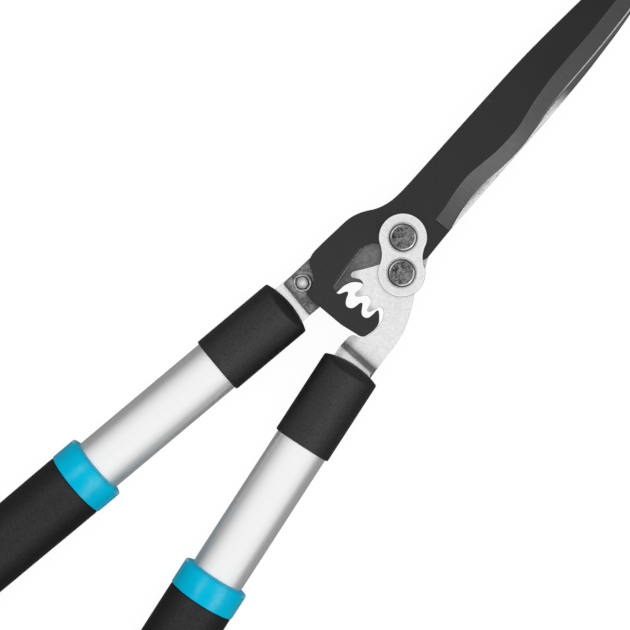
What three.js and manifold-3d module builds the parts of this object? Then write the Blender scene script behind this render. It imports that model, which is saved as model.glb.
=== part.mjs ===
// Geared hedge shears, closed. Millimetres, degrees, +Z towards the side that carries the link plate.
// Origin: centre of the flat face of the blade pivot bolt. +X runs along the blades to their tips,
// +Y is the side of the fixed handle. "Front" is the +Z side, "rear" the -Z side; seen along +X,
// the fixed handle is the left one and the gear lever's handle the right one.
import * as THREE from "three";
import { mergeVertices } from "three/addons/utils/BufferGeometryUtils.js";
import Module from "manifold-3d";

// ---------------------------------------------------------------- driving dimensions
const SHEAR_Z = -9.3; // height of the plane in which the two blades slide on each other
const HALF_GAP = 0.1; // each blade's inner face stands this far off that plane
const PLATE_T = 3.6; // blade and lever plate thickness
const EDGE_T = 0.35; // thickness left at the ground cutting edge
const LINK_T = 2.5; // link plate thickness
const TANG_T = 4.0; // room in height for the fixed handle's steel strip
const TANG_GAP = 0.1; // taken off the front face of that strip

// Gear: module 3. The lever's external gear would have 15 teeth on a full circle and the blade's
// internal gear 27, so the blade turns 15/27 as far as the lever, the same way. Only three teeth
// of each exist.
const BLADE_PIVOT = [0, 0];
const GEAR_PIVOT = [-13.93, -11.38]; // lever pivot
const HUB_R = 8.8; // blade hub and lever hub
const BOLT_R = 4.0;
const BOLT_HOLE_R = 4.15;
const BOLT_FLANGE_R = 7.1;
const BOLT_HEAD_R = 6.4;

const OUTER_RIVET = [-50.7, 22.9];
const INNER_RIVET = [-40.8, 15.6];
const RIVET_R = 2.5;
const RIVET_HOLE_R = 2.65;
const RIVET_HEAD_R = 4.5;

// A handle's own frame: u along it from the front of the sleeve, v across, w up.
const AXIS_Z = SHEAR_Z - 6.0; // both handle tubes are centred on this height
const LEFT = { apex: [-62.26, 20.33], direction: 171.5 };
const RIGHT = { apex: [-64.01, -24.07], direction: 188.6 };
const STRIP_HALF_W = 10.9; // half width of both steel strips where they enter the handles
const STRIP_END_U = 36; // how far the strips reach into the handles
const STRIP_CHAMFER = 2;
const PIN_U = 24; // cross pin of each handle
const PIN_R = 2.4;
const PIN_HOLE_R = 2.55;
const PIN_HALF_L = 9.9;
const PIN_SEGMENTS = 20;

// Heights of the plate faces.
const fromShear = (height) => SHEAR_Z + height;
const FRONT_TOP = fromShear(HALF_GAP + PLATE_T);
const FRONT_INNER = fromShear(HALF_GAP);
const REAR_INNER = fromShear(-HALF_GAP);
const REAR_BACK = fromShear(-HALF_GAP - PLATE_T);
const LINK_BASE = FRONT_TOP + 0.2;
const LINK_TOP = LINK_BASE + LINK_T;
const TANG_BACK = AXIS_Z - TANG_T / 2;
const TANG_FRONT = AXIS_Z + TANG_T / 2 - TANG_GAP;

// ---------------------------------------------------------------- finishes
const BLACK_COAT = { color: 0x36373a, roughness: 0.42, metalness: 0.2 };
const GROUND_STEEL = { color: 0x9a9c9f, roughness: 0.35, metalness: 0.9 };
const ZINC_PLATE = { color: 0xd9dadb, roughness: 0.45, metalness: 0.85 };
const HEAD_STEEL = { color: 0x7b7d80, roughness: 0.4, metalness: 0.9 };
const BRIGHT_STEEL = { color: 0xc9cacc, roughness: 0.3, metalness: 0.95 };
const ALUMINIUM = { color: 0xd6d7d9, roughness: 0.35, metalness: 0.9 };
const SLEEVE_BLACK = { color: 0x2b2c2e, roughness: 0.5, metalness: 0.0 };
const INSERT_GREY = { color: 0x4a4b4d, roughness: 0.7, metalness: 0.0 };
const BLUE = { color: 0x14b4e2, roughness: 0.4, metalness: 0.0 };
const SOFT_BLACK = { color: 0x232425, roughness: 0.8, metalness: 0.0 };
const CAP_BLACK = { color: 0x2a2b2c, roughness: 0.6, metalness: 0.0 };

// ---------------------------------------------------------------- solids
const wasm = await Module();
wasm.setup();

// Welds a geometry into a manifold, turned right side out.
function solid(geometry) {
  geometry.deleteAttribute("normal");
  geometry.deleteAttribute("uv");
  const welded = mergeVertices(geometry, 1e-4);
  const corners = welded.index.array;
  const triangles = [];
  for (let i = 0; i < corners.length; i += 3) {
    const [a, b, c] = corners.subarray ? corners.subarray(i, i + 3) : corners.slice(i, i + 3);
    if (a !== b && b !== c && a !== c) triangles.push([a, b, c]);
  }
  const build = (list) =>
    new wasm.Manifold(
      new wasm.Mesh({
        numProp: 3,
        vertProperties: new Float32Array(welded.attributes.position.array),
        triVerts: new Uint32Array(list.flat()),
      }),
    );
  const body = build(triangles);
  return body.volume() >= 0 ? body : build(triangles.map(([a, b, c]) => [a, c, b]));
}

function geometryOf(body) {
  const mesh = body.getMesh();
  const positions = new Float32Array(mesh.vertProperties);
  const geometry = new THREE.BufferGeometry();
  geometry.setAttribute("position", new THREE.BufferAttribute(positions, 3));
  geometry.setIndex(new THREE.BufferAttribute(new Uint32Array(mesh.triVerts), 1));
  geometry.computeVertexNormals();
  return geometry;
}

function add(parent, name, body, finish) {
  const mesh = new THREE.Mesh(geometryOf(body), new THREE.MeshStandardMaterial(finish));
  mesh.name = name;
  parent.add(mesh);
}

const rad = THREE.MathUtils.degToRad;
const polar = (centre, radius, angle) => [
  centre[0] + radius * Math.cos(rad(angle)),
  centre[1] + radius * Math.sin(rad(angle)),
];
function arc(centre, radius, start, end, steps) {
  const points = [];
  for (let i = 0; i <= steps; i++) {
    points.push(polar(centre, radius, start + ((end - start) * i) / steps));
  }
  return points;
}

// Returns a function that takes [u, v] in a turned frame to [x, y].
function frame(origin, direction) {
  const cos = Math.cos(rad(direction));
  const sin = Math.sin(rad(direction));
  return ([u, v]) => [origin[0] + u * cos - v * sin, origin[1] + u * sin + v * cos];
}
const fromLeft = frame(LEFT.apex, LEFT.direction);
const fromRight = frame(RIGHT.apex, RIGHT.direction);

// Mirrors an outline in the X axis and runs it the other way.
const mirrored = (points) => points.map(([x, y]) => [x, -y]).reverse();

const shapeOf = (points) => new THREE.Shape(points.map(([x, y]) => new THREE.Vector2(x, y)));

// A flat plate from z0 to z1.
function plate(outline, z0, z1) {
  const geometry = new THREE.ExtrudeGeometry(shapeOf(outline), {
    depth: z1 - z0,
    bevelEnabled: false,
  });
  geometry.translate(0, 0, z0);
  return solid(geometry);
}

function cylinder(centre, radius, z0, z1, segments) {
  const geometry = new THREE.CylinderGeometry(radius, radius, z1 - z0, segments);
  geometry.rotateX(Math.PI / 2);
  geometry.translate(centre[0], centre[1], (z0 + z1) / 2);
  return solid(geometry);
}

// Drills a vertical hole right through a piece.
const DRILL_HALF_L = 30;
function drill(body, centre, radius, segments = 24) {
  return body.subtract(cylinder(centre, radius, -DRILL_HALF_L, DRILL_HALF_L, segments));
}

// A turned piece about a vertical axis: [radius, z] pairs from the axis back to the axis.
function turned(profile, centre, segments = 28) {
  const points = profile.map(([radius, z]) => new THREE.Vector2(radius, z));
  const geometry = new THREE.LatheGeometry(points, segments);
  geometry.rotateX(Math.PI / 2);
  geometry.translate(centre[0], centre[1], 0);
  return solid(geometry);
}

// An oval piece along the handle: stations [u, halfWidth, halfHeight] joined in order.
// A station of zero size lies on the handle axis; otherwise the list closes on itself.
// The section is a superellipse of the given power.
const OVAL_SEGMENTS = 28;
function oval(stations, power = 2.3) {
  // Each lathe height is a station number, replaced below by the station's own section.
  const points = stations.map((station, i) => new THREE.Vector2(station[1] === 0 ? 0 : 1, i));
  if (stations[0][1] !== 0) points.push(new THREE.Vector2(1, 0));
  const geometry = new THREE.LatheGeometry(points, OVAL_SEGMENTS);
  const position = geometry.attributes.position;
  const bend = (value) =>
    Math.abs(value) < 1e-9 ? 0 : Math.sign(value) * Math.pow(Math.abs(value), 2 / power);
  for (let i = 0; i < position.count; i++) {
    const [u, halfWidth, halfHeight] = stations[Math.round(position.getY(i))];
    const turn = Math.atan2(position.getZ(i), position.getX(i)) / (2 * Math.PI);
    const angle = (2 * Math.PI * Math.round(turn * OVAL_SEGMENTS)) / OVAL_SEGMENTS;
    position.setXYZ(
      i,
      u,
      halfWidth * bend(Math.cos(angle)),
      halfHeight * bend(Math.sin(angle)),
    );
  }
  return solid(geometry);
}

// ---------------------------------------------------------------- blades
// All outlines are [x, y].
// Spine of the front blade, tip to hub. The rear blade mirrors its outer end.
const SPINE = [
  [246.9, -1.0], [246.2, -0.1], [238, 0.9], [225, 3.0], [210, 5.3], [195, 7.4], [180, 9.3],
  [165, 10.9], [150, 12.2], [137, 13.2], [125.4, 14.0], [105.9, 15.0], [60, 15.6],
  [21.2, 15.9],
];
const SHARED_SPINE_POINTS = 8;
// Wavy cutting edge of the front blade, hub to tip; the rear blade's is its mirror image.
const EDGE = [
  [19.9, -15.4], [23.1, -14.6], [27, -13.8], [32, -13.0], [37, -12.45], [42.4, -12.2],
  [48.8, -12.45], [54, -13.05], [59, -13.8], [64.4, -14.4], [70, -14.7], [75.8, -14.7],
  [81, -14.35], [86.6, -13.75], [92, -13.0], [97, -12.45], [102.5, -12.15], [110, -12.0],
  [123, -11.8], [136, -11.55], [149, -10.95], [161, -10.2], [175, -8.7], [190, -7.0],
  [205, -5.4], [220, -4.0], [235, -2.9], [244.5, -2.4],
];
// Inner border of the ground bevel, hub to tip.
const BEVEL = [
  [17.4, -6.5], [26.6, -5.6], [33.2, -4.6], [40.2, -3.9], [46.4, -3.9], [54.4, -5.1],
  [63.1, -6.4], [71.8, -6.9], [80.6, -6.7], [88.3, -5.4], [95.3, -4.1], [101.1, -3.5],
  [107, -2.9], [112.8, -2.5], [123.8, -2.3], [136.9, -2.3], [149, -1.8], [160.9, -1.2],
  [175, -0.6], [190, 0.0], [205, 0.4], [220, 0.6], [235, 0.2], [243, -0.4], [252, -1.2],
];
// Where the bevel is sampled: near the hub at its own x, elsewhere at the border's points.
const BEVEL_XS = [BEVEL[0][0], 23, 28, ...BEVEL.slice(2).map(([x]) => x)];
const BEVEL_OUTER_START_X = 20.1; // the outer side of the cut begins here
const BEVEL_OVERRUN = 1.0; // the cut runs this far past the cutting edge
const BEVEL_CUT_H = 4; // and this far above the plate

// Height y of a line of points at x; past its end, the last point's.
function along(line, x) {
  for (let i = 1; i < line.length; i++) {
    if (x <= line[i][0]) {
      const [x0, y0] = line[i - 1];
      const [x1, y1] = line[i];
      return y0 + ((y1 - y0) * (x - x0)) / (x1 - x0);
    }
  }
  return line[line.length - 1][1];
}

// The wedge of metal ground away from the front blade; side -1 gives the rear blade's.
function bevelCut(side) {
  const steps = BEVEL_XS.length - 1;
  const geometry = new THREE.BoxGeometry(1, 1, 1, steps, 1, 1);
  const position = geometry.attributes.position;
  const full = HALF_GAP + PLATE_T;
  const thin = HALF_GAP + EDGE_T;
  for (let i = 0; i < position.count; i++) {
    const step = Math.round((position.getX(i) + 0.5) * steps);
    const isOuter = position.getY(i) < 0;
    const isTop = position.getZ(i) > 0;
    const x = BEVEL_XS[step];
    const innerY = along(BEVEL, x);
    const edgeY = along(EDGE, Math.max(x, EDGE[0][0]));
    const outerY = edgeY - BEVEL_OVERRUN;
    let height = full;
    if (isTop) height += BEVEL_CUT_H;
    else if (isOuter) height += ((thin - full) * (innerY - outerY)) / (innerY - edgeY);
    position.setXYZ(
      i,
      step === 0 && isOuter ? BEVEL_OUTER_START_X : x,
      side * (isOuter ? outerY : innerY),
      SHEAR_Z + side * height,
    );
  }
  return solid(geometry);
}

// Hook, teeth and spaces of the front blade's internal gear, then the notch that clears the lever.
const BLADE_GEAR = [
  [-53.9, 7.9], [-53.7, 0.5], [-53.5, -5.7], [-52.9, -9.5], [-52.1, -14], [-51.5, -17],
  [-50.2, -18.6], [-47.6, -19.5], [-44.4, -20.1], [-42, -20], [-40, -19.3], [-38.4, -18.1],
  [-36.3, -16.05], [-35.75, -15.1], [-35.95, -14.68], [-36.85, -14.49], [-38.6, -14.38],
  [-40.5, -14.13], [-41.6, -13.8], [-42.5, -13.0], [-43.0, -11.9], [-42.9, -10.7],
  [-42.2, -9.6], [-40.2, -8.1], [-38.65, -7.05], [-38.28, -6.4], [-38.45, -6.05],
  [-39.2, -5.62], [-41.1, -5.27], [-43.2, -4.62], [-44, -3.6], [-44.6, -2.4], [-44.8, -1.2],
  [-43.9, -0.1], [-41.9, 0.9], [-39.65, 1.78], [-38.9, 2.5], [-38.93, 2.95], [-39.3, 3.38],
  [-41, 4.4], [-42.4, 5.2], [-42.95, 6.1], [-43.1, 7], [-42.9, 8.2], [-41.5, 9.1],
  [-28.3, 10.8], [-21.7, 11.5], [-17.3, 11.8], [-14.2, 10.9], [-12.2, 9.5], [-10.2, 7],
];
const FRONT_OUTLINE = [
  ...SPINE,
  [14.8, 16.2], [9.8, 16.9], [5.3, 18.3], [1.4, 20.3], [-2.2, 22.9], [-5.6, 24.9],
  [-10.5, 26.7], [-20, 27.8], [-31.7, 28.8], [-35.6, 28.9], [-38.4, 28.3], [-40.6, 27.0],
  [-42.3, 24.8], [-44.5, 21.0], [-46.1, 19.5],
  ...arc(OUTER_RIVET, 5.0, -48, -112, 6), // hollow round the outer rivet's head
  [-53.5, 17.6], [-54.2, 15.0], [-54.3, 12.0],
  ...BLADE_GEAR,
  ...arc(BLADE_PIVOT, HUB_R, 152, 262, 16),
  [-1.8, -14.7], [-0.4, -15.8], [1.4, -16.1], [10, -15.7],
  ...EDGE,
  [246.1, -2.0],
];
const REAR_OUTLINE = [
  ...mirrored(EDGE),
  [12, 15.2], [6, 16.2], [1.4, 18.6], [-2.5, 21.3], [-6, 23.3], [-10.5, 25.4], [-20, 26.6],
  [-31.7, 27.7], [-39.7, 28.5], [-56.4, 29.85], [-57.5, 29.2], [-60.5, 10.1], [-59.9, 9.3],
  [-54.6, 8.4], [-42.8, 6.5], [-38.2, 6.2], [-35.4, 5.2], [-33.2, 3.8], [-31.6, 1.8],
  [-30.9, 0.2],
  ...arc(GEAR_PIVOT, 19.5, 153, 198, 7),
  polar(GEAR_PIVOT, 17.0, 214),
  polar(GEAR_PIVOT, 14.0, 232),
  ...arc(GEAR_PIVOT, 11.7, 252, 312, 7),
  [-2.2, -17.9], [1.4, -16.2], [20, -15.5], [60, -15.4], [108, -15.0], [125.7, -14.4],
  [140, -13.4], [150, -12.6],
  ...mirrored(SPINE.slice(0, SHARED_SPINE_POINTS)),
  [246.1, 2.0],
];

function frontBlade() {
  const blank = plate(FRONT_OUTLINE, FRONT_INNER, FRONT_TOP).subtract(bevelCut(1));
  return drill(blank, BLADE_PIVOT, BOLT_HOLE_R);
}

function rearBlade() {
  let blade = plate(REAR_OUTLINE, REAR_BACK, REAR_INNER).subtract(bevelCut(-1));
  for (const pivot of [BLADE_PIVOT, GEAR_PIVOT]) blade = drill(blade, pivot, BOLT_HOLE_R);
  for (const rivet of [OUTER_RIVET, INNER_RIVET]) blade = drill(blade, rivet, RIVET_HOLE_R);
  const countersink = [
    [0, fromShear(-2.0)],
    [RIVET_R, fromShear(-2.0)],
    [4.6, fromShear(0.1)],
    [4.6, fromShear(1)],
    [0, fromShear(1)],
  ];
  return blade.subtract(turned(countersink, INNER_RIVET, 24));
}

// ---------------------------------------------------------------- link plate
// Two rounded ends joined by a slight waist, laid out from the blade pivot to the gear pivot.
function linkPlate() {
  const span = Math.hypot(...GEAR_PIVOT);
  const direction = THREE.MathUtils.radToDeg(Math.atan2(GEAR_PIVOT[1], GEAR_PIVOT[0]));
  const outline = [
    ...arc([0, 0], 12.2, 72, 288, 18),
    [5.6, -10.75], [span / 2, -10.3], [span - 5.6, -10.65],
    ...arc([span, 0], 12.0, -108, 108, 18),
    [span - 5.6, 10.65], [span / 2, 10.3], [5.6, 10.75],
  ].map(frame(BLADE_PIVOT, direction));
  const blank = plate(outline, LINK_BASE, LINK_TOP);
  return drill(drill(blank, BLADE_PIVOT, BOLT_HOLE_R), GEAR_PIVOT, BOLT_HOLE_R);
}

// ---------------------------------------------------------------- gear lever
// Chamfered end of both steel strips, [u, v] in the handle's frame.
const STRIP_END = [
  [STRIP_END_U - STRIP_CHAMFER, STRIP_HALF_W],
  [STRIP_END_U, STRIP_HALF_W - STRIP_CHAMFER],
  [STRIP_END_U, -STRIP_HALF_W + STRIP_CHAMFER],
  [STRIP_END_U - STRIP_CHAMFER, -STRIP_HALF_W],
];
// Three external gear teeth, 24 degrees apart; their drive flanks are eased for a constant ratio.
const LEVER_TEETH = [
  [-33.61, -15.94], [-33.9, -14.5], [-35.37, -13.92], [-36.03, -13.75], [-37.76, -13],
  [-38.95, -12.4], [-39.5, -12], [-39.65, -11.45], [-39, -10.66], [-35.48, -9.78],
  [-34.25, -9], [-33.72, -7.62], [-33.68, -6.18], [-34.55, -4.97], [-36.16, -3.8],
  [-37.3, -2.62], [-37.78, -1.95], [-37.45, -1], [-36.55, -0.58], [-32.96, -1.14],
  [-31.46, -0.92], [-30.6, -0.14], [-30.1, 1.11], [-30.3, 2.76], [-32, 5.84], [-31.97, 6.7],
  [-31.35, 7.32], [-29.3, 7.5],
];
const LEVER_OUTLINE = [
  ...LEVER_TEETH,
  [-18.2, 0.1],
  ...arc(GEAR_PIVOT, HUB_R, 66, -62, 16),
  [-14.6, -21.9], [-17.4, -23.2], [-20.8, -25.3], [-27.3, -28.6], [-35.0, -31.6],
  [-42.3, -32.9], [-50.9, -33.6],
  fromRight([-3, STRIP_HALF_W]),
  ...STRIP_END.map(fromRight),
  fromRight([-4, -STRIP_HALF_W]),
  [-57.5, -12.75], [-54.9, -13.0], [-53.5, -13.9], [-52.7, -15.4], [-52.1, -17.1],
  [-51.2, -18.6], [-49.4, -19.75], [-47.2, -20.35], [-44.4, -20.8], [-42.0, -20.75],
  [-39.6, -20.35], [-37.0, -19.4], [-34.9, -18.1], [-33.75, -16.9],
];
// The offset bend runs between these x and takes the lever down to the handle's mid-plane.
const BEND_START_X = -53;
const BEND_END_X = -62;
const BEND_DROP = HALF_GAP + PLATE_T / 2 - (AXIS_Z - SHEAR_Z);

// Side view of the bent lever, extruded across it.
function leverSide() {
  const slope = Math.atan2(BEND_DROP, BEND_START_X - BEND_END_X);
  const shift = PLATE_T * Math.tan(slope / 2); // keeps the thickness even through the bend
  const hubX = 10;
  const endX = -130;
  const halfWidth = 60;
  const profile = [
    [hubX, FRONT_TOP],
    [BEND_START_X, FRONT_TOP],
    [BEND_END_X, FRONT_TOP - BEND_DROP],
    [endX, FRONT_TOP - BEND_DROP],
    [endX, FRONT_INNER - BEND_DROP],
    [BEND_END_X + shift, FRONT_INNER - BEND_DROP],
    [BEND_START_X + shift, FRONT_INNER],
    [hubX, FRONT_INNER],
  ];
  const geometry = new THREE.ExtrudeGeometry(shapeOf(profile), {
    depth: 2 * halfWidth,
    bevelEnabled: false,
  });
  geometry.rotateX(Math.PI / 2);
  geometry.translate(0, halfWidth, 0);
  return solid(geometry);
}

function gearLever() {
  const blank = plate(LEVER_OUTLINE, fromShear(-14), fromShear(6)).intersect(leverSide());
  const bored = drill(blank, GEAR_PIVOT, BOLT_HOLE_R);
  return drill(bored, fromRight([PIN_U, 0]), PIN_HOLE_R, PIN_SEGMENTS);
}

// ---------------------------------------------------------------- pivot bolts, washers and nuts
function pivotBolt(centre) {
  const flangeZ = LINK_TOP + 0.1;
  const profile = [
    [0, fromShear(-12.8)],
    [3.3, fromShear(-12.8)],
    [BOLT_R, fromShear(-12.1)],
    [BOLT_R, flangeZ],
    [BOLT_FLANGE_R, flangeZ],
    [BOLT_FLANGE_R, flangeZ + 0.8],
    [BOLT_HEAD_R, flangeZ + 0.85],
    [BOLT_HEAD_R, -0.6],
    [BOLT_HEAD_R - 0.6, 0],
    [0, 0],
  ];
  return turned(profile, centre);
}

function pivotWasher(centre) {
  const disc = cylinder(centre, 8.0, REAR_BACK - 1.3, REAR_BACK - 0.1, 28);
  return drill(disc, centre, BOLT_HOLE_R);
}

// Hexagon nut, 13 across flats, its corners turned off on the outer face.
function pivotNut(centre) {
  const outerZ = REAR_BACK - 7.9;
  const innerZ = REAR_BACK - 1.4;
  const hexagon = cylinder(centre, 7.5, outerZ, innerZ, 6);
  const envelope = [
    [0, outerZ],
    [6.4, outerZ],
    [7.6, outerZ + 0.7],
    [7.6, innerZ],
    [0, innerZ],
  ];
  return drill(hexagon.intersect(turned(envelope, centre, 24)), centre, BOLT_HOLE_R);
}

// ---------------------------------------------------------------- fixed handle's strip and rivets
function leftTang() {
  const noseU = -19; // the half-oval nose starts here
  const noseL = 9.5;
  const noseHalfW = STRIP_HALF_W - 0.1;
  const nose = arc([0, 0], 1, 270, 90, 10).map(([x, y]) => [noseU + noseL * x, noseHalfW * y]);
  let tang = plate([...STRIP_END, ...nose].map(fromLeft), TANG_BACK, TANG_FRONT);
  for (const rivet of [OUTER_RIVET, INNER_RIVET]) tang = drill(tang, rivet, RIVET_HOLE_R);
  return drill(tang, fromLeft([PIN_U, 0]), PIN_HOLE_R, PIN_SEGMENTS);
}

// Rear head and start of the shank, the same on both rivets: [radius, z].
const RIVET_REAR = [
  [0, TANG_BACK - 1.7],
  [2.9, TANG_BACK - 1.7],
  [4.0, TANG_BACK - 1.0],
  [4.2, TANG_BACK - 0.1],
  [RIVET_R, TANG_BACK - 0.1],
];
function outerRivet() {
  const head = [
    [RIVET_R, fromShear(0)],
    [RIVET_HEAD_R, fromShear(0)],
    [RIVET_HEAD_R, fromShear(0.9)],
    [3.8, fromShear(1.7)],
    [2.2, fromShear(2.0)],
    [0, fromShear(2.0)],
  ];
  return turned([...RIVET_REAR, ...head], OUTER_RIVET);
}
// Countersunk flush, because the front blade slides over it.
function innerRivet() {
  const head = [
    [RIVET_R, fromShear(-1.9)],
    [4.15, fromShear(-0.25)],
    [4.15, fromShear(-0.15)],
    [0, fromShear(-0.15)],
  ];
  return turned([...RIVET_REAR, ...head], INNER_RIVET);
}

// ---------------------------------------------------------------- handles
// Oval sizes are [halfWidth, halfHeight].
const grow = (size, amount) => size.map((half) => half + amount);
const CLEAR = 0.15; // clearance between nested handle pieces
const TUBE = [14.25, 10.2];
const TUBE_BORE = grow(TUBE, -1.4); // inside the tube's wall
const OVER_TUBE = grow(TUBE, CLEAR);
const INSERT = grow(TUBE_BORE, -0.2);
const SLEEVE = [15.6, 11.8];
const COLLAR = [18.05, 14.1];
const GRIP_CORE = [15.85, 11.85]; // outside of the grip core under the soft cover
const OVER_CORE = grow(GRIP_CORE, CLEAR);
const HOLLOW_U = 9.0; // the sleeve is solid in front of this, hollow behind it
const SLEEVE_L = 49.2;
const TUBE_END_U = 270;
const COLLAR_START_U = 128.4;
const COLLAR_END_U = 144.0;
const GRIP_END_U = 281;
const HANDLE_L = 285.0; // from the front of the sleeve to the butt face

// Box that cuts the slot for a steel strip.
function slotCut(u0, u1, sideClearance, halfHeight) {
  const halfWidth = STRIP_HALF_W + sideClearance;
  const geometry = new THREE.BoxGeometry(u1 - u0, 2 * halfWidth, 2 * halfHeight);
  geometry.translate((u0 + u1) / 2, 0, 0);
  return solid(geometry);
}

const drillForPin = (body) => drill(body, [PIN_U, 0], PIN_HOLE_R, PIN_SEGMENTS);

function sleeve() {
  const stations = [
    [0, 0, 0],
    [0.15, 3.6, 1.7],
    [0.85, 8.0, 3.9],
    [1.8, 11.5, 5.6],
    [2.7, 13.9, 6.8],
    [3.6, 15.3, 7.8],
    [5.0, SLEEVE[0], 9.2],
    [6.6, SLEEVE[0], 10.6],
    [8.3, ...SLEEVE],
    [SLEEVE_L - 0.5, ...SLEEVE],
    [SLEEVE_L, ...grow(SLEEVE, -0.5)],
    [SLEEVE_L, ...OVER_TUBE],
    [HOLLOW_U, ...OVER_TUBE],
    [HOLLOW_U, 0, 0],
  ];
  return oval(stations, 2.4).subtract(slotCut(-4, 14, 0.35, 2.4));
}

function tube() {
  const startU = HOLLOW_U + 0.4;
  const pipe = oval([
    [startU, ...TUBE],
    [TUBE_END_U, ...TUBE],
    [TUBE_END_U, ...TUBE_BORE],
    [startU, ...TUBE_BORE],
  ]);
  return drillForPin(pipe);
}

// Moulded insert that centres the steel strip in the tube.
function insert() {
  const startU = HOLLOW_U + 0.6;
  const endU = 44;
  const plug = oval([
    [startU, 0, 0],
    [startU, ...INSERT],
    [endU, ...INSERT],
    [endU, 0, 0],
  ]);
  return drillForPin(plug.subtract(slotCut(0, STRIP_END_U + 0.6, 0.3, 2.3)));
}

const crossPin = () => cylinder([PIN_U, 0], PIN_R, -PIN_HALF_L, PIN_HALF_L, PIN_SEGMENTS);

// Grip core with the collar at its front.
function gripCore() {
  return oval([
    [COLLAR_START_U, ...OVER_TUBE],
    [COLLAR_START_U, ...grow(OVER_TUBE, 1.2)],
    [COLLAR_START_U + 1.9, ...COLLAR],
    [COLLAR_END_U, ...COLLAR],
    [COLLAR_END_U, ...GRIP_CORE],
    [GRIP_END_U, ...GRIP_CORE],
    [GRIP_END_U, ...OVER_TUBE],
  ]);
}

// Soft cover, waisted and flared towards the butt.
function gripCover() {
  return oval([
    [COLLAR_END_U + 0.2, ...OVER_CORE],
    [COLLAR_END_U + 0.2, 17.3, 13.4],
    [COLLAR_END_U + 0.8, 17.7, 13.8],
    [165, 17.65, 13.8],
    [185, 17.5, 13.75],
    [200, 17.45, 13.7],
    [222, 17.3, 13.6],
    [244, 17.2, 13.5],
    [260, 17.6, 13.8],
    [270, 18.5, 14.6],
    [277, 19.3, 15.3],
    [GRIP_END_U, 19.3, 15.3],
    [GRIP_END_U, ...OVER_CORE],
  ]);
}

// End cap: a plug inside the grip core and a rounded lid behind it.
function endCap() {
  const plugU = TUBE_END_U + 1;
  const lidU = GRIP_END_U + 0.2;
  return oval([
    [plugU, 0, 0],
    [plugU, 12.5, 8.5],
    [plugU + 1, 13.8, 9.8],
    [lidU, 13.8, 9.8],
    [lidU, 19.0, 15.0],
    [283.2, 18.7, 14.7],
    [284.6, 17.6, 13.6],
    [HANDLE_L, 15.8, 11.8],
    [HANDLE_L, 0, 0],
  ]);
}

function addHandle(parent, side, { apex, direction }) {
  const handle = new THREE.Group();
  handle.position.set(apex[0], apex[1], AXIS_Z);
  handle.rotation.z = rad(direction);
  parent.add(handle);
  add(handle, side + "_sleeve", sleeve(), SLEEVE_BLACK);
  add(handle, side + "_tube", tube(), ALUMINIUM);
  add(handle, side + "_insert", insert(), INSERT_GREY);
  add(handle, side + "_cross_pin", crossPin(), BRIGHT_STEEL);
  add(handle, side + "_grip_core", gripCore(), BLUE);
  add(handle, side + "_grip_cover", gripCover(), SOFT_BLACK);
  add(handle, side + "_end_cap", endCap(), CAP_BLACK);
}

// ---------------------------------------------------------------- assembly
const shears = new THREE.Group();
shears.name = "hedge_shears";
add(shears, "front_blade", frontBlade(), BLACK_COAT);
add(shears, "rear_blade", rearBlade(), GROUND_STEEL);
add(shears, "link_plate", linkPlate(), ZINC_PLATE);
add(shears, "gear_lever", gearLever(), ZINC_PLATE);
for (const [name, centre] of [["blade_pivot", BLADE_PIVOT], ["gear_pivot", GEAR_PIVOT]]) {
  add(shears, name + "_bolt", pivotBolt(centre), HEAD_STEEL);
  add(shears, name + "_washer", pivotWasher(centre), BRIGHT_STEEL);
  add(shears, name + "_nut", pivotNut(centre), BRIGHT_STEEL);
}
add(shears, "left_tang", leftTang(), ZINC_PLATE);
add(shears, "tang_rivet_outer", outerRivet(), BRIGHT_STEEL);
add(shears, "tang_rivet_inner", innerRivet(), BRIGHT_STEEL);
addHandle(shears, "left", LEFT);
addHandle(shears, "right", RIGHT);

export default shears;
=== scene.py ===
# Geared hedge shears lying flat: two blades, a link plate, a toothed lever and two oval handles.
# Sizes are in millimetres and MM turns them into Blender's metres; shader coordinates are metres.
# +X runs to the blade tips, +Y is the fixed (left) handle's side, +Z is the link plate's side.
# The blade pivot stands at x = y = 0. "Front" is the +Z side, "rear" the -Z side.
import math

import bmesh
import bpy
import numpy as np
from mathutils import Matrix, Vector
from mathutils.geometry import delaunay_2d_cdt


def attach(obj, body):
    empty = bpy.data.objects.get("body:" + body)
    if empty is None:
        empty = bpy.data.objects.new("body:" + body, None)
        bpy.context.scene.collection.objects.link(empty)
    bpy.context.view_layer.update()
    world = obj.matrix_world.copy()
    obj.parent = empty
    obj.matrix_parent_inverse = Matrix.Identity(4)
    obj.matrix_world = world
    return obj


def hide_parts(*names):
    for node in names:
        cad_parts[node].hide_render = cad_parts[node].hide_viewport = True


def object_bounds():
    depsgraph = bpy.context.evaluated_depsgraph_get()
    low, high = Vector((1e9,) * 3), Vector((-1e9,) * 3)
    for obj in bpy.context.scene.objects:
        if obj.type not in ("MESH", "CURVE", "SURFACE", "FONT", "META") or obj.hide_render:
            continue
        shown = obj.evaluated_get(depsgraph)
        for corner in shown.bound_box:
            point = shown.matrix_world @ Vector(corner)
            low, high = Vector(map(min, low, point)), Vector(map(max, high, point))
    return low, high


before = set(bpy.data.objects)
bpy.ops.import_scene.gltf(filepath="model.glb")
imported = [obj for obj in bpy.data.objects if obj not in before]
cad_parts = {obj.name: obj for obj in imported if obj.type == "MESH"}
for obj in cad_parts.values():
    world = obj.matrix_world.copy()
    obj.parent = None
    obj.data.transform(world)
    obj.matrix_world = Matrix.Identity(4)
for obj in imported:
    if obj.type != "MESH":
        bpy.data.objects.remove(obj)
bpy.context.view_layer.update()
cad_low, cad_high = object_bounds()
scene = bpy.context.scene
rng = np.random.default_rng(7)
MM = 0.001


def rad(degrees):
    return degrees * math.pi / 180.0


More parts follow.
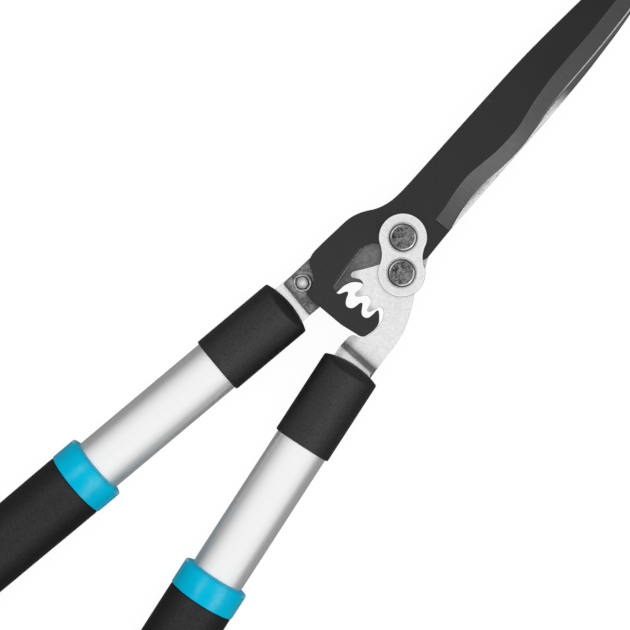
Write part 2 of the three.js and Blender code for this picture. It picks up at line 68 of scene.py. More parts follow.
# ------------------------------------------------------------------ shared dimensions
SHEAR_Z = -9.3                  # the plane in which the blades meet
HALF_GAP, PLATE = 0.1, 3.6      # clearance to that plane, blade thickness
FRONT_LOW = SHEAR_Z + HALF_GAP
FRONT_TOP = SHEAR_Z + HALF_GAP + PLATE
REAR_TOP = SHEAR_Z - HALF_GAP
REAR_LOW = SHEAR_Z - HALF_GAP - PLATE
LINK_LOW = FRONT_TOP + 0.2
LINK_TOP = LINK_LOW + 2.5
BLADE_PIVOT = (0.0, 0.0)
GEAR_PIVOT = np.array([-13.93, -11.38])
HUB_R, HOLE_R = 8.8, 4.15
RIVET_HOLE_R, PIN_HOLE_R = 2.65, 2.55
OUTER_RIVET, INNER_RIVET = (-50.7, 22.9), (-40.8, 15.6)
AXIS_Z = SHEAR_Z - 6.0          # height of the handles' axes
STRIP_W = 10.9                  # half width of the steel strips that enter the handles
STRIP_END, STRIP_CORNER = 36, 2
PIN_AT = 24                     # cross pin hole, along the handle
TANG_LOW, TANG_TOP = AXIS_Z - 2.0, AXIS_Z + 1.9


class Handle:
    """A handle's own axes: along it from the apex, across it, and height above its axis."""

    def __init__(self, side, body, apex, direction):
        self.side, self.body, self.apex, self.direction = side, body, apex, direction
        cosine, sine = math.cos(rad(direction)), math.sin(rad(direction))
        self.along, self.across = (cosine, sine), (-sine, cosine)

    def at(self, along, across):
        cosine, sine = self.along
        return (self.apex[0] + along * cosine - across * sine,
                self.apex[1] + along * sine + across * cosine)

    def place(self, local):
        x, y = self.at(local[..., 0], local[..., 1])
        return np.stack([x, y, AXIS_Z + local[..., 2]], -1)

    def local(self, x, y):
        cosine, sine = self.along
        x, y = x - self.apex[0], y - self.apex[1]
        return x * cosine + y * sine, -x * sine + y * cosine


LEFT = Handle("left", "fixed_half", (-62.26, 20.33), 171.5)
RIGHT = Handle("right", "lever_half", (-64.01, -24.07), 188.6)


# ------------------------------------------------------------------ plane curves
def polar(centre, radius, angle):
    return (centre[0] + radius * math.cos(rad(angle)), centre[1] + radius * math.sin(rad(angle)))


def arc(centre, radius, start, end, steps):
    return [polar(centre, radius, start + (end - start) * i / steps) for i in range(steps + 1)]


def bolt_hole(centre):
    return arc(centre, HOLE_R, 0, 354, 59)


def small_hole(centre, radius=RIVET_HOLE_R):
    return arc(centre, radius, 0, 350, 35)


def spline(points, step, closed=False):
    """Centripetal Catmull-Rom curve through the points, sampled about every `step` mm.
    An open curve holds both its end points."""
    p = np.array(points, float)
    if closed:
        p = np.vstack([p[-1], p, p[0], p[1]])
    else:
        p = np.vstack([2 * p[0] - p[1], p, 2 * p[-1] - p[-2]])
    curve = []
    for p0, p1, p2, p3 in zip(p, p[1:], p[2:], p[3:]):
        d01, d12, d23 = (max(np.linalg.norm(b - a), 1e-6) ** 0.5
                         for a, b in ((p0, p1), (p1, p2), (p2, p3)))
        leave = (p1 - p0) / d01 - (p2 - p0) / (d01 + d12) + (p2 - p1) / d12
        arrive = (p2 - p1) / d12 - (p3 - p1) / (d12 + d23) + (p3 - p2) / d23
        leave, arrive = leave * d12, arrive * d12
        count = max(1, int(round(np.linalg.norm(p2 - p1) / step)))
        for k in range(count):
            t = k / count
            curve.append((2 * t ** 3 - 3 * t ** 2 + 1) * p1 + (t ** 3 - 2 * t ** 2 + t) * leave
                         + (-2 * t ** 3 + 3 * t ** 2) * p2 + (t ** 3 - t ** 2) * arrive)
    if not closed:
        curve.append(p[-2])
    return np.array(curve)


def straight(start, end, step=3):
    """Points from start up to, but without, end."""
    start, end = np.array(start), np.array(end)
    count = int(math.ceil(np.linalg.norm(end - start) / step))
    return [start + (end - start) * k / count for k in range(count)]


def anticlockwise(loop):
    x, y = loop[:, 0], loop[:, 1]
    return 0.5 * np.sum(x * np.roll(y, -1) - np.roll(x, -1) * y) > 0


def join(*runs):
    """One closed anticlockwise outline from open runs; repeated points are dropped."""
    points = np.vstack([np.array(run, float).reshape(-1, 2) for run in runs])
    kept = [points[0]]
    for point in points[1:]:
        if np.linalg.norm(point - kept[-1]) > 0.02:
            kept.append(point)
    if np.linalg.norm(kept[0] - kept[-1]) < 0.02:
        kept.pop()
    kept = np.array(kept)
    return kept if anticlockwise(kept) else kept[::-1]


def rim_distance(points, loops, chunk=2000):
    """Distance of each point to the nearest edge of the closed loops."""
    start = np.vstack(loops)
    edge = np.vstack([np.roll(loop, -1, axis=0) for loop in loops]) - start
    squared = np.maximum((edge ** 2).sum(1), 1e-12)
    distance = np.empty(len(points))
    for first in range(0, len(points), chunk):
        offset = points[first:first + chunk][:, None, :] - start[None]
        t = np.clip((offset * edge[None]).sum(2) / squared[None], 0, 1)
        gap = offset - t[..., None] * edge[None]
        distance[first:first + chunk] = np.sqrt((gap ** 2).sum(2)).min(1)
    return distance


def inside(points, loop):
    x, y = points[:, 0], points[:, 1]
    result = np.zeros(len(points), bool)
    for (x0, y0), (x1, y1) in zip(loop, np.roll(loop, -1, axis=0)):
        if y0 != y1:
            result ^= ((y0 > y) != (y1 > y)) & (x < (x1 - x0) * (y - y0) / (y1 - y0) + x0)
    return result


def on_plate(points, loops):
    """Inside the outline, loops[0], and outside every hole."""
    result = inside(points, loops[0])
    for hole in loops[1:]:
        result &= ~inside(points, hole)
    return result


def fillet(profile, radius, steps=3, least=0.02, nearly_straight=-2.0):
    """Rounds the inner corners of a profile. A corner stays when its radius would be under
    `least` or the cosine between its sides is under `nearly_straight`."""
    rows = [np.array(row, float) for row in profile]
    result = [rows[0]]
    for before, corner, after in zip(rows, rows[1:], rows[2:]):
        back, ahead = before - corner, after - corner
        back_len, ahead_len = np.linalg.norm(back), np.linalg.norm(ahead)
        cosine = np.dot(back, ahead) / (back_len * ahead_len + 1e-9)
        r = min(radius, back_len * 0.45, ahead_len * 0.45)
        if cosine < nearly_straight or r < least:
            result.append(corner)
            continue
        start, end = corner + back / back_len * r, corner + ahead / ahead_len * r
        for k in range(steps + 1):
            t = k / steps
            result.append((1 - t) ** 2 * start + 2 * t * (1 - t) * corner + t ** 2 * end)
    result.append(rows[-1])
    return result


# ------------------------------------------------------------------ meshes
def shade_smooth(mesh, sharp):
    mesh.polygons.foreach_set("use_smooth", [True] * len(mesh.polygons))
    mesh.set_sharp_from_angle(angle=rad(sharp))


def mesh_object(name, verts, faces, sharp=None):
    """Object from vertices in mm; it is smooth up to the sharp angle, or flat without one."""
    mesh = bpy.data.meshes.new(name)
    mesh.from_pydata((np.asarray(verts, float) * MM).tolist(), [],
                     [list(map(int, face)) for face in faces])
    mesh.validate()
    mesh.update()
    obj = bpy.data.objects.new(name, mesh)
    scene.collection.objects.link(obj)
    if sharp is not None:
        shade_smooth(mesh, sharp)
    return obj


def weighted(obj):
    modifier = obj.modifiers.new("weighted", "WEIGHTED_NORMAL")
    modifier.keep_sharp = True
    modifier.weight = 60
    return obj


def face_out(obj):
    """Turns a closed mesh's faces outwards."""
    work = bmesh.new()
    work.from_mesh(obj.data)
    bmesh.ops.recalc_face_normals(work, faces=work.faces)
    if work.calc_volume(signed=True) < 0:
        bmesh.ops.reverse_faces(work, faces=work.faces)
    work.to_mesh(obj.data)
    work.free()
    return obj


def point_attribute(obj, name, kind, key, values):
    attribute = obj.data.attributes.new(name, kind, "POINT")
    attribute.data.foreach_set(key, np.array(values, np.float32).ravel())


def assign_slots(obj, slot_at):
    """Material slot of every face from its centre in mm."""
    slots = [slot_at(*(np.array(face.center) / MM)) for face in obj.data.polygons]
    obj.data.polygons.foreach_set("material_index", slots)


def finish(obj, body, node, slot, *materials):
    for name in materials:
        obj.data.materials.append(MATERIALS[name])
    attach(obj, body)
    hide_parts(node)


def rim_rows(loops, reach):
    """Points in rows alongside every rim, close set where the rounding is steep."""
    rows = []
    for k, loop in enumerate(loops):
        tangent = np.roll(loop, -1, axis=0) - np.roll(loop, 1, axis=0)
        tangent /= np.maximum(np.linalg.norm(tangent, axis=1), 1e-9)[:, None]
        inward = np.stack([-tangent[:, 1], tangent[:, 0]], 1)
        if (k == 0) != anticlockwise(loop):
            inward = -inward
        for part in (0.076, 0.293, 0.617, 1.0):
            inset = np.full((len(loop), 1), reach * part)
            rows.append(np.hstack([loop + inward * reach * part, inset]))
    rows = np.vstack(rows)
    rows = rows[on_plate(rows[:, :2], loops)]
    distance = rim_distance(rows[:, :2], loops)
    return rows[distance > rows[:, 2] * 0.97 - 1e-4][:, :2]


def grid_points(loops, reach, grid, extra):
    """A slightly shaken grid and the extra points, clear of the rounded rims."""
    low, high = loops[0].min(0), loops[0].max(0)
    x, y = np.meshgrid(np.arange(low[0] + grid / 2, high[0], grid),
                       np.arange(low[1] + grid / 2, high[1], grid))
    points = np.stack([x.ravel(), y.ravel()], 1)
    points[:, 0] += (rng.random(len(points)) - 0.5) * grid * 0.2
    if len(extra):
        points = np.vstack([points, np.array(extra)])
    points = points[on_plate(points, loops)]
    return points[rim_distance(points, loops) > reach * 1.15]


def runs_inside(lines, loops):
    """The parts of the lines that lie inside the outline."""
    runs = []
    for line in lines:
        line = np.array(line, float)
        ok = inside(line, loops[0]) & (rim_distance(line, loops) > 0.02)
        run = []
        for point, good in zip(line, ok):
            if good:
                run.append(point)
            elif run:
                runs.append(np.array(run))
                run = []
        if run:
            runs.append(np.array(run))
    return runs


def triangulate(loops, inner, runs):
    """Triangles over the plate that keep its rims and runs as edges."""
    points, edges = [], []

    def add_edges(line, count):
        first = len(points)
        points.extend(line)
        edges.extend((first + i, first + (i + 1) % len(line)) for i in range(count))

    for loop in loops:
        add_edges(loop, len(loop))
    points.extend(inner)
    for run in runs:
        add_edges(run, len(run) - 1)
    verts, _, faces, *_ = delaunay_2d_cdt([Vector(point.tolist()) for point in points],
                                          edges, [], 0, 1e-5)
    verts = np.array([[vert.x, vert.y] for vert in verts])
    faces = np.array([face for face in faces if len(face) == 3])
    faces = faces[on_plate(verts[faces].mean(1), loops)]
    a, b, c = (verts[faces[:, i]] for i in range(3))
    area = (b[:, 0] - a[:, 0]) * (c[:, 1] - a[:, 1]) - (b[:, 1] - a[:, 1]) * (c[:, 0] - a[:, 0])
    faces[area < 0] = faces[area < 0][:, ::-1]
    used = np.unique(faces)
    renumber = -np.ones(len(verts), int)
    renumber[used] = np.arange(len(used))
    return verts[used], renumber[faces]


def slab(name, outline, holes, top, bottom, round_top, round_bottom, grid, extra=(), lines=(),
         slot_at=None, sharp=32.0):
    """A plate with rounded rims. top and bottom are heights or functions of the points;
    extra are added inner points, lines are kept as edges on the faces, and slot_at gives a
    face's material slot from x, y and the z of its normal."""
    loops = [outline] + [np.array(hole) for hole in holes]
    reach = max(round_top, round_bottom)
    inner = np.vstack([rim_rows(loops, reach), grid_points(loops, reach, grid, extra)])
    runs = runs_inside(lines, loops)
    if runs:
        near = np.vstack(runs)
        inner = inner[np.sqrt(((inner[:, None, :] - near[None]) ** 2).sum(2)).min(1) > 0.12]
    flat, faces = triangulate(loops, inner, runs)
    distance = rim_distance(flat, loops)
    sides = dict.fromkeys((int(f[i]), int(f[(i + 1) % 3])) for f in faces for i in range(3))
    rim = [side for side in sides if side[::-1] not in sides]
    distance[[vert for side in rim for vert in side]] = 0.0
    z_top, z_bottom = (level(flat) if callable(level) else np.full(len(flat), level)
                       for level in (top, bottom))
    thickness = z_top - z_bottom

    def drop(radius):
        radius = np.minimum(radius, thickness * 0.45)
        t = np.clip(distance / np.maximum(radius, 1e-6), 0, 1)
        return radius * (1 - np.sqrt(np.clip(1 - (1 - t) ** 2, 0, 1)))

    n = len(flat)
    verts = np.vstack([np.column_stack([flat, z_top - drop(round_top)]),
                       np.column_stack([flat, z_bottom + drop(round_bottom)])])
    skin = [tuple(f) for f in faces] + [(f[0] + n, f[2] + n, f[1] + n) for f in faces]
    skin += [(b, a, a + n, b + n) for a, b in rim]
    obj = mesh_object(name, verts, skin, sharp)
    # distance to the rim on the top; 5 mm stands for all of the underside
    point_attribute(obj, "rim", "FLOAT", "value", np.concatenate([distance, np.full(n, 5.0)]))
    if slot_at is not None:
        slots = []
        for face in obj.data.polygons:
            corners = verts[list(face.vertices)]
            slots.append(slot_at(corners[:, 0].mean(), corners[:, 1].mean(), face.normal.z))
        obj.data.polygons.foreach_set("material_index", slots)
    return weighted(obj)


def turned(name, profile, centre, segments=96, sharp=35.0, closed=False, reshape=None):
    """Turned piece on a vertical axis at centre. The profile holds [radius, z] rows; it runs
    from axis to axis, or closes on itself. reshape changes a row at a given angle."""
    verts, rings = [], []
    for i, (radius, z) in enumerate(profile):
        count = segments if radius > 1e-6 else 1
        rings.append(list(range(len(verts), len(verts) + count)))
        for k in range(count):
            a = 2 * math.pi * k / segments
            r, height = reshape(i, a, radius, z) if reshape else (radius, z)
            verts.append((centre[0] + r * math.cos(a), centre[1] + r * math.sin(a), height))
    faces = []
    for low, high in zip(rings, rings[1:] + (rings[:1] if closed else [])):
        for k in range(segments):
            nxt = (k + 1) % segments
            if len(low) == 1:
                faces.append((low[0], high[nxt], high[k]))
            elif len(high) == 1:
                faces.append((low[k], low[nxt], high[0]))
            else:
                faces.append((low[k], low[nxt], high[nxt], high[k]))
    return face_out(weighted(mesh_object(name, verts, faces, sharp)))


# ------------------------------------------------------------------ shader nodes
MATERIALS = {}


def empty_tree(owner):
    owner.use_nodes = True
    owner.node_tree.nodes.clear()
    return owner.node_tree


def add_node(tree, kind, inputs=(), **settings):
    """A new node. Inputs are Fields or plain values; one number on a colour input is a grey."""
    node = tree.nodes.new("ShaderNode" + kind)
    for key, value in settings.items():
        setattr(node, key, value)
    for key, value in dict(inputs).items():
        socket = node.inputs[key]
        if isinstance(value, Field):
            tree.links.new(value.socket, socket)
        elif socket.type == "RGBA":
            socket.default_value = (*value, 1) if hasattr(value, "__len__") else (value,) * 3 + (1,)
        else:
            socket.default_value = value
    return node


def field(tree, kind, inputs=(), output=0, **settings):
    return Field(tree, add_node(tree, kind, inputs, **settings).outputs[output])


def blend(tree, amount, under, over, mode="MIX"):
    return field(tree, "Mix", {0: amount, 6: under, 7: over}, 2, data_type="RGBA", blend_type=mode)


class Field:
    """A node's output. Arithmetic on it adds Math nodes."""

    def __init__(self, tree, socket):
        self.tree, self.socket = tree, socket

    def operate(self, operation, *values):
        return field(self.tree, "Math", enumerate(values), operation=operation)

    def __add__(self, other):
        return self.operate("ADD", self, other)

    def __sub__(self, other):
        return self.operate("SUBTRACT", self, other)

    def __rsub__(self, other):
        return self.operate("SUBTRACT", other, self)

    def __mul__(self, other):
        return self.operate("MULTIPLY", self, other)

    def __truediv__(self, other):
        return self.operate("DIVIDE", self, other)

    def __rpow__(self, other):
        return self.operate("POWER", other, self)

    def __abs__(self):
        return self.operate("ABSOLUTE", self)

    def length(self):
        return field(self.tree, "VectorMath", {0: self}, "Value", operation="LENGTH")

    def xyz(self):
        outputs = add_node(self.tree, "SeparateXYZ", {0: self}).outputs
        return [Field(self.tree, output) for output in outputs]

    def remap(self, span=(0.3, 0.7), to=(0, 1), smooth=False):
        ends = {"From Min": span[0], "From Max": span[1], "To Min": to[0], "To Max": to[1]}
        return field(self.tree, "MapRange", {**ends, "Value": self},
                     interpolation_type="SMOOTHSTEP" if smooth else "LINEAR")

    def ramp(self, *stops, ease="LINEAR"):
        """Stops are (position, grey or colour)."""
        node = add_node(self.tree, "ValToRGB", {0: self})
        node.color_ramp.interpolation = ease
        elements = node.color_ramp.elements
        while len(elements) < len(stops):
            elements.new(0.5)
        for element, (position, tone) in zip(elements, stops):
            element.position = position
            element.color = (*tone, 1) if hasattr(tone, "__len__") else (tone, tone, tone, 1)
        return Field(self.tree, node.outputs[0])

    def above(self, low, high, peak=1.0):
        """0 under low, rising to peak at high."""
        return self.ramp((low, 0.0), (high, peak))

    def between(self, under, over):
        return blend(self.tree, self, under, over)

    def toward(self, over, amount):
        return blend(self.tree, amount, self, over)

    def shade(self, by):
        return blend(self.tree, 1.0, self, by, "MULTIPLY")

    def bump(self, strength, depth, base=None):
        inputs = {"Strength": strength, "Distance": depth, "Height": self}
        if base is not None:
            inputs["Normal"] = base
        return field(self.tree, "Bump", inputs)


class Surface:
    def __init__(self, name):
        self.name = name
        self.material = bpy.data.materials.new(name)
        self.tree = empty_tree(self.material)
        self.place = field(self.tree, "TexCoord", output="Object")

    def mapping(self, scale=(1, 1, 1), turn=0, shift=(0, 0), source=None):
        return field(self.tree, "Mapping", {
            "Scale": scale, "Rotation": (0, 0, rad(turn)), "Location": (*shift, 0),
            "Vector": source or self.place})

    def noise(self, scale, detail=3, rough=0.6, warp=0.0, source=None):
        return field(self.tree, "TexNoise", {
            "Scale": scale, "Detail": detail, "Roughness": rough, "Distortion": warp,
            "Vector": source or self.place}, "Fac")

    def streaks(self, scale, turn=0, detail=3, rough=0.6, source=None):
        """Noise with its own scale on each axis."""
        return self.noise(1.0, detail, rough, source=self.mapping(scale, turn, source=source))

    def attribute(self, name, output="Fac"):
        return field(self.tree, "Attribute", output=output, attribute_name=name)

    def about(self, centre):
        """Offset in metres from a vertical axis."""
        return self.mapping(scale=(1, 1, 0), shift=(-centre[0] * MM, -centre[1] * MM))

    def reach(self, apex, axis):
        """Distance in metres from the apex in the direction of axis."""
        dot = field(self.tree, "VectorMath", {0: self.place, 1: (*axis, 0)}, "Value",
                    operation="DOT_PRODUCT")
        return dot - (apex[0] * axis[0] + apex[1] * axis[1]) * MM

    def across(self, handle):
        """0 to 1 over the 36 mm width of a handle."""
        return self.reach(handle.apex, handle.across).remap((-0.018, 0.018))

    def finish(self, colour, roughness, normal=None, metallic=0.0, specular=0.5, tint=1.0):
        inputs = {"Base Color": colour, "Roughness": roughness, "Metallic": metallic,
                  "Specular IOR Level": specular, "Specular Tint": tint}
        if normal is not None:
            inputs["Normal"] = normal
        add_node(self.tree, "OutputMaterial", {0: field(self.tree, "BsdfPrincipled", inputs)})
        MATERIALS[self.name] = self.material


# ------------------------------------------------------------------ materials: blades
def notch_highlight_lines(s):
    """Amount of two fine painted highlight lines along the notch: one at its rim, a fainter one
    outside it.
    """
    x, y, _ = s.place.xyz()
    x, y = x * 1000.0, y * 1000.0
    t = (x + 29.4) / 12.1
    # the rim of the notch is a sloping line with a slight arch
    rim_y = (x + 41.5) * 0.1116 + (1.0 - t * t) * 0.22
    offset = (y - rim_y) + x.operate("MULTIPLY", 9.1, -1.0)
    in_reach = (x.remap((-43.0, -41.0), smooth=True)
                * x.remap((-19.5, -16.5), to=(1, 0), smooth=True))
    near = offset.remap((-1.0, 3.0)).ramp(
        (0.0, 0.0), (0.24, 0.0), (0.28, 1.0), (0.38, 1.0), (0.43, 0.0))
    far = offset.remap((-1.0, 3.0)).ramp(
        (0.0, 0.0), (0.53, 0.0), (0.57, 1.0), (0.60, 1.0), (0.64, 0.0))
    facing_up = field(s.tree, "NewGeometry", output="Normal").xyz()[2].remap((0.2, 0.5))
    lines = near * 1.0 + far * 0.30
    broken = s.noise(scale=500).remap((0.3, 0.6), to=(0.5, 1.1))
    return (lines * broken) * (in_reach * facing_up)


def black_coating():
    """Black blade coating: even satin, greyer at the gear end, paler along the rims from wear and a
    painted rim highlight.
    """
    s = Surface("black_coating")
    x = s.place.xyz()[0]
    fine = s.noise(scale=2600)
    colour = x.remap((-0.05, 0.25)).ramp(
        (0.0, (0.0225, 0.0228, 0.0235)), (0.30, (0.0150, 0.0153, 0.0158)),
        (1.0, (0.0068, 0.0070, 0.0074)))
    colour = colour.shade(s.noise(scale=38, rough=0.5).remap(to=(0.88, 1.12)))
    specks = s.noise(scale=900, detail=2, rough=0.5).above(0.70, 0.80)
    colour = colour.toward(0.11, specks * 0.10)
    colour = colour.shade(s.noise(scale=1100, detail=4, rough=0.65).remap(to=(0.72, 1.28)))
    scratches = (s.streaks(scale=(1400, 110, 110), turn=-35).above(0.66, 0.72)
                 * s.noise(scale=75).above(0.60, 0.70))
    colour = colour.toward(0.12, scratches * 0.45)
    # paler along the rims: partly wear of the coating, partly a painted highlight on the rounded
    # rims
    wear_and_rim_highlight = (s.attribute("rim").remap((0.10, 0.34), to=(1, 0), smooth=True)
            * s.noise(scale=260).remap((0.35, 0.6), to=(0.25, 1.0)))
    colour = colour.toward((0.13, 0.13, 0.132), wear_and_rim_highlight * 0.10)
    # painted highlight: two pale lines along the notch rim, where its rounded edge catches the
    # light
    colour = colour.toward((0.22, 0.22, 0.222), notch_highlight_lines(s))
    waves = s.noise(scale=220, detail=2, rough=0.5).bump(strength=0.06, depth=0.0003)
    s.finish(colour, fine.remap(to=(0.42, 0.54)), fine.bump(0.10, depth=0.00006, base=waves),
             specular=x.remap((0.06, 0.21), to=(0.37, 0.24)))


def ground_bevel():
    """Ground steel of the bevel: fine cross grinding and slow bands along the blade."""
    s = Surface("ground_bevel")
    band = s.place.xyz()[0].remap((0.0, 0.25)).ramp(
        (0.0, 0.106), (0.08, 0.112), (0.16, 0.162), (0.27, 0.212), (0.35, 0.130),
        (0.46, 0.100), (0.60, 0.090), (1.0, 0.076), ease="B_SPLINE")
    streak = s.streaks(scale=(2600, 160, 160), turn=8, detail=4)
    fine = s.noise(scale=1900)
    grain = (streak.remap((0.25, 0.75), to=(0.84, 1.16))
             * fine.remap((0.25, 0.75), to=(0.90, 1.10)))
    s.finish(band.shade(grain), fine.remap(to=(0.40, 0.52)),
             streak.bump(strength=0.16, depth=0.00004), metallic=0.55, specular=0.4)


def honed_edge():
    """The strip along the cutting edge, brightest on the straight run towards the tip, where its
    pale tone is partly a painted highlight.
    """
    s = Surface("honed_edge")
    streak = s.streaks(scale=(60, 1500, 1500))
    # partly painted highlight: far paler on the straight run towards the tip than along the waves
    tone = s.place.xyz()[0].remap((0.0, 0.25)).ramp(
        (0.0, 0.11), (0.10, 0.12), (0.18, 0.22), (0.27, 0.20), (0.34, 0.16), (0.41, 0.30),
        (0.46, 0.78), (0.62, 0.85), (1.0, 0.80))
    s.finish(tone.shade(streak.remap(to=(0.8, 1.15))), roughness=0.32,
             normal=streak.bump(strength=0.1, depth=0.00003), metallic=0.9)


def inner_blade(s, x, rim, streak):
    """Bright colour, streaked lengthwise, going dark towards the tip."""
    wisp = s.streaks(scale=(90, 420, 420), turn=-4, detail=4)
    blot = s.noise(scale=430, detail=5, rough=0.68, warp=0.5)
    outward = (abs(s.place.xyz()[1]) + (wisp - 0.5) * 0.004).remap((0.0115, 0.0150), smooth=True)
    bright = (streak.remap((0.28, 0.66), to=(0.35, 1.0))
              * outward.remap((0, 1), to=(0.25, 1.0))).between(0.17, 1.0)
    bright = bright.toward(0.34, wisp.above(0.56, 0.66, peak=0.45))
    bright = bright.toward(0.28, blot.above(0.56, 0.64, peak=0.5))
    bright = bright.toward(1.0, s.noise(scale=620, detail=4).above(0.60, 0.66, peak=0.6))
    dark = streak.remap().between(0.070, 0.118)
    tipward = ((x + wisp * 0.012).remap((0.104, 0.119), smooth=True)
               * (rim + wisp * 1.5).remap((4.6, 7.0), to=(1, 0), smooth=True))
    return tipward.between(bright, dark)


def inner_tang(s, x, rim, blot, fleck):
    """Raw plate colour, strongly mottled, calmer towards the pivot, marked round the rivet, with a
    painted shadow beside it.
    """
    tang = blot.remap((0.34, 0.66)).between(0.064, 0.245)
    tang = tang.toward(0.46, fleck.above(0.54, 0.60) * 0.55)
    pits = s.noise(scale=900, detail=4, rough=0.65, warp=0.4).ramp((0.38, 1.0), (0.45, 0.0))
    tang = tang.toward(0.035, pits * 0.60)
    calm = (x + blot * 0.006).remap((-0.036, -0.016), smooth=True).between(0.105, 0.215)
    calm = calm.shade(fleck.remap(to=(0.72, 1.28))).shade(blot.remap(to=(0.86, 1.12)))
    tang = tang.toward(calm, x.remap((-0.0425, -0.0385), to=(0, 0.8), smooth=True))
    offset = s.about(OUTER_RIVET)
    radius = offset.length()
    halo = radius.remap((0.0, 0.010)).ramp(
        (0.0, 0.0), (0.42, 0.0), (0.48, 0.8), (0.56, 0.7), (0.66, 0.0))
    tang = tang.toward(0.46, halo * blot.remap((0.38, 0.60)))
    from_x, from_y, _ = offset.xyz()
    # a painted shadow: a dark crescent on the rivet's +X, -Y side
    lee = (from_x * 0.72 + from_y * -0.69).remap((0.0022, 0.0040), smooth=True)
    disc = radius.remap((0.0, 0.010)).ramp((0.0, 1.0), (0.50, 1.0), (0.56, 0.0))
    tang = tang.toward(0.012, (lee * disc) * 0.9)
    scratches = s.streaks(scale=(900, 60, 60), turn=38, rough=0.5).above(0.66, 0.74)
    tang = tang.toward(0.36, scratches * 0.30)
    return tang.toward(0.05, rim.remap((0.2, 1.1), to=(0.5, 0), smooth=True))


def blade_inner_face():
    """The face of a blade that lies against the other one."""
    s = Surface("blade_inner_face")
    x = s.place.xyz()[0]
    rim = s.attribute("rim")
    streak = s.streaks(scale=(34, 900, 900), turn=1.5, detail=6, rough=0.65)
    blot = s.noise(scale=300, detail=6, rough=0.74, warp=0.5)
    fleck = s.noise(scale=760, detail=4, rough=0.65)
    blade = inner_blade(s, x, rim, streak)
    tang = inner_tang(s, x, rim, blot, fleck)
    on_tang = (x.remap((-0.004, 0.004), to=(1, 0), smooth=True)
               * s.place.xyz()[1].remap((-0.0155, -0.0135), to=(0.3, 1.0)))
    s.finish(on_tang.between(blade, tang),
             on_tang.between(0.36, fleck.remap(to=(0.38, 0.58))),
             on_tang.between(streak, fleck).bump(strength=0.22, depth=0.00008),
             metallic=on_tang.between(0.92, 0.75))


# ------------------------------------------------------------------ materials: metal fittings
def zinc_plate(name="zinc_plate", tone=0.89, painted_rim_highlight=0.0, worn_tips=False, shaded_ring_centres=()):
    """Dull bright plating with a fine grain. It can carry a painted highlight just inside the rim,
    and painted shade: a dark part ring round each given centre, beside a bolt flange.
    """
    s = Surface(name)
    fine = s.noise(scale=1500, detail=4, rough=0.7)
    middle = s.noise(scale=600, detail=4, rough=0.65)
    broad = s.noise(scale=60, rough=0.5)
    grain = (fine.remap((0.28, 0.72), to=(0.80, 1.16))
             * middle.remap((0.28, 0.72), to=(0.91, 1.06))) * broad.remap(to=(0.98, 1.02))
    colour = blend(s.tree, 1.0, (tone, tone, tone * 1.003), grain, "MULTIPLY")
    colour = colour.toward(0.42, s.noise(scale=1150).above(0.66, 0.74) * 0.35)
    # painted highlight: paler in a band just inside the rim
    if painted_rim_highlight:
        colour = colour.toward(1.0, s.attribute("rim").remap((0.0, 1.5)).ramp(
            (0.0, 0.0), (0.16, 0.0), (0.27, painted_rim_highlight), (0.44, painted_rim_highlight), (0.62, 0.0)))
    if worn_tips:  # grey and speckled on the tooth tips
        radius = s.about(GEAR_PIVOT).length() * 1000.0
        worn = ((radius + (broad - 0.5) * 5.0).remap((20.5, 24.3), smooth=True)
                * s.place.xyz()[1].remap((-0.0185, -0.0150), smooth=True))
        colour = colour.toward(0.50, worn * middle.remap((0.35, 0.65), to=(0.45, 1.0)))
    for centre in shaded_ring_centres:
        # painted shade: a dark part ring beside the bolt flange, heaviest on its +X side
        offset = s.about((centre[0] + 0.6, centre[1] + 0.2))
        ring = (offset.length() * 1000.0).remap((7.0, 7.8)).ramp(
            (0.20, 0.0), (0.36, 1.0), (0.52, 1.0), (0.68, 0.0))
        ring = ring * offset.xyz()[0].remap((-0.003, 0.002), to=(0.0, 0.62), smooth=True)
        colour = colour.toward(0.20, ring * middle.remap((0.35, 0.65), to=(0.7, 1.0)))
    s.finish(colour, fine.remap(to=(0.38, 0.50)),
             fine.bump(0.24, depth=0.00005, base=middle.bump(0.12, depth=0.00012)),
             metallic=0.85)


def bolt_rim_highlights():
    """Rim of a bolt head, with painted highlights on two opposite sides."""
    s = Surface("bolt_rim_highlights")
    fine = s.noise(scale=1300)
    y = s.attribute("off", "Vector").xyz()[1]
    # painted highlights: paler towards the rim's +Y and -Y sides, facing the two side lamps
    side = (y * -0.155 + (s.noise(scale=350) - 0.5) * 0.3).remap((-1, 1)).ramp(
        (0.0, 0.75), (0.10, 0.60), (0.20, 0.20), (0.5, 0.12), (0.68, 0.22), (0.80, 0.92),
        (1.0, 1.0))
    s.finish(side.between(0.10, 1.0).shade(fine.remap(to=(0.85, 1.1))),
             fine.remap(to=(0.20, 0.30)), fine.bump(strength=0.15, depth=0.00004),
             metallic=0.95)


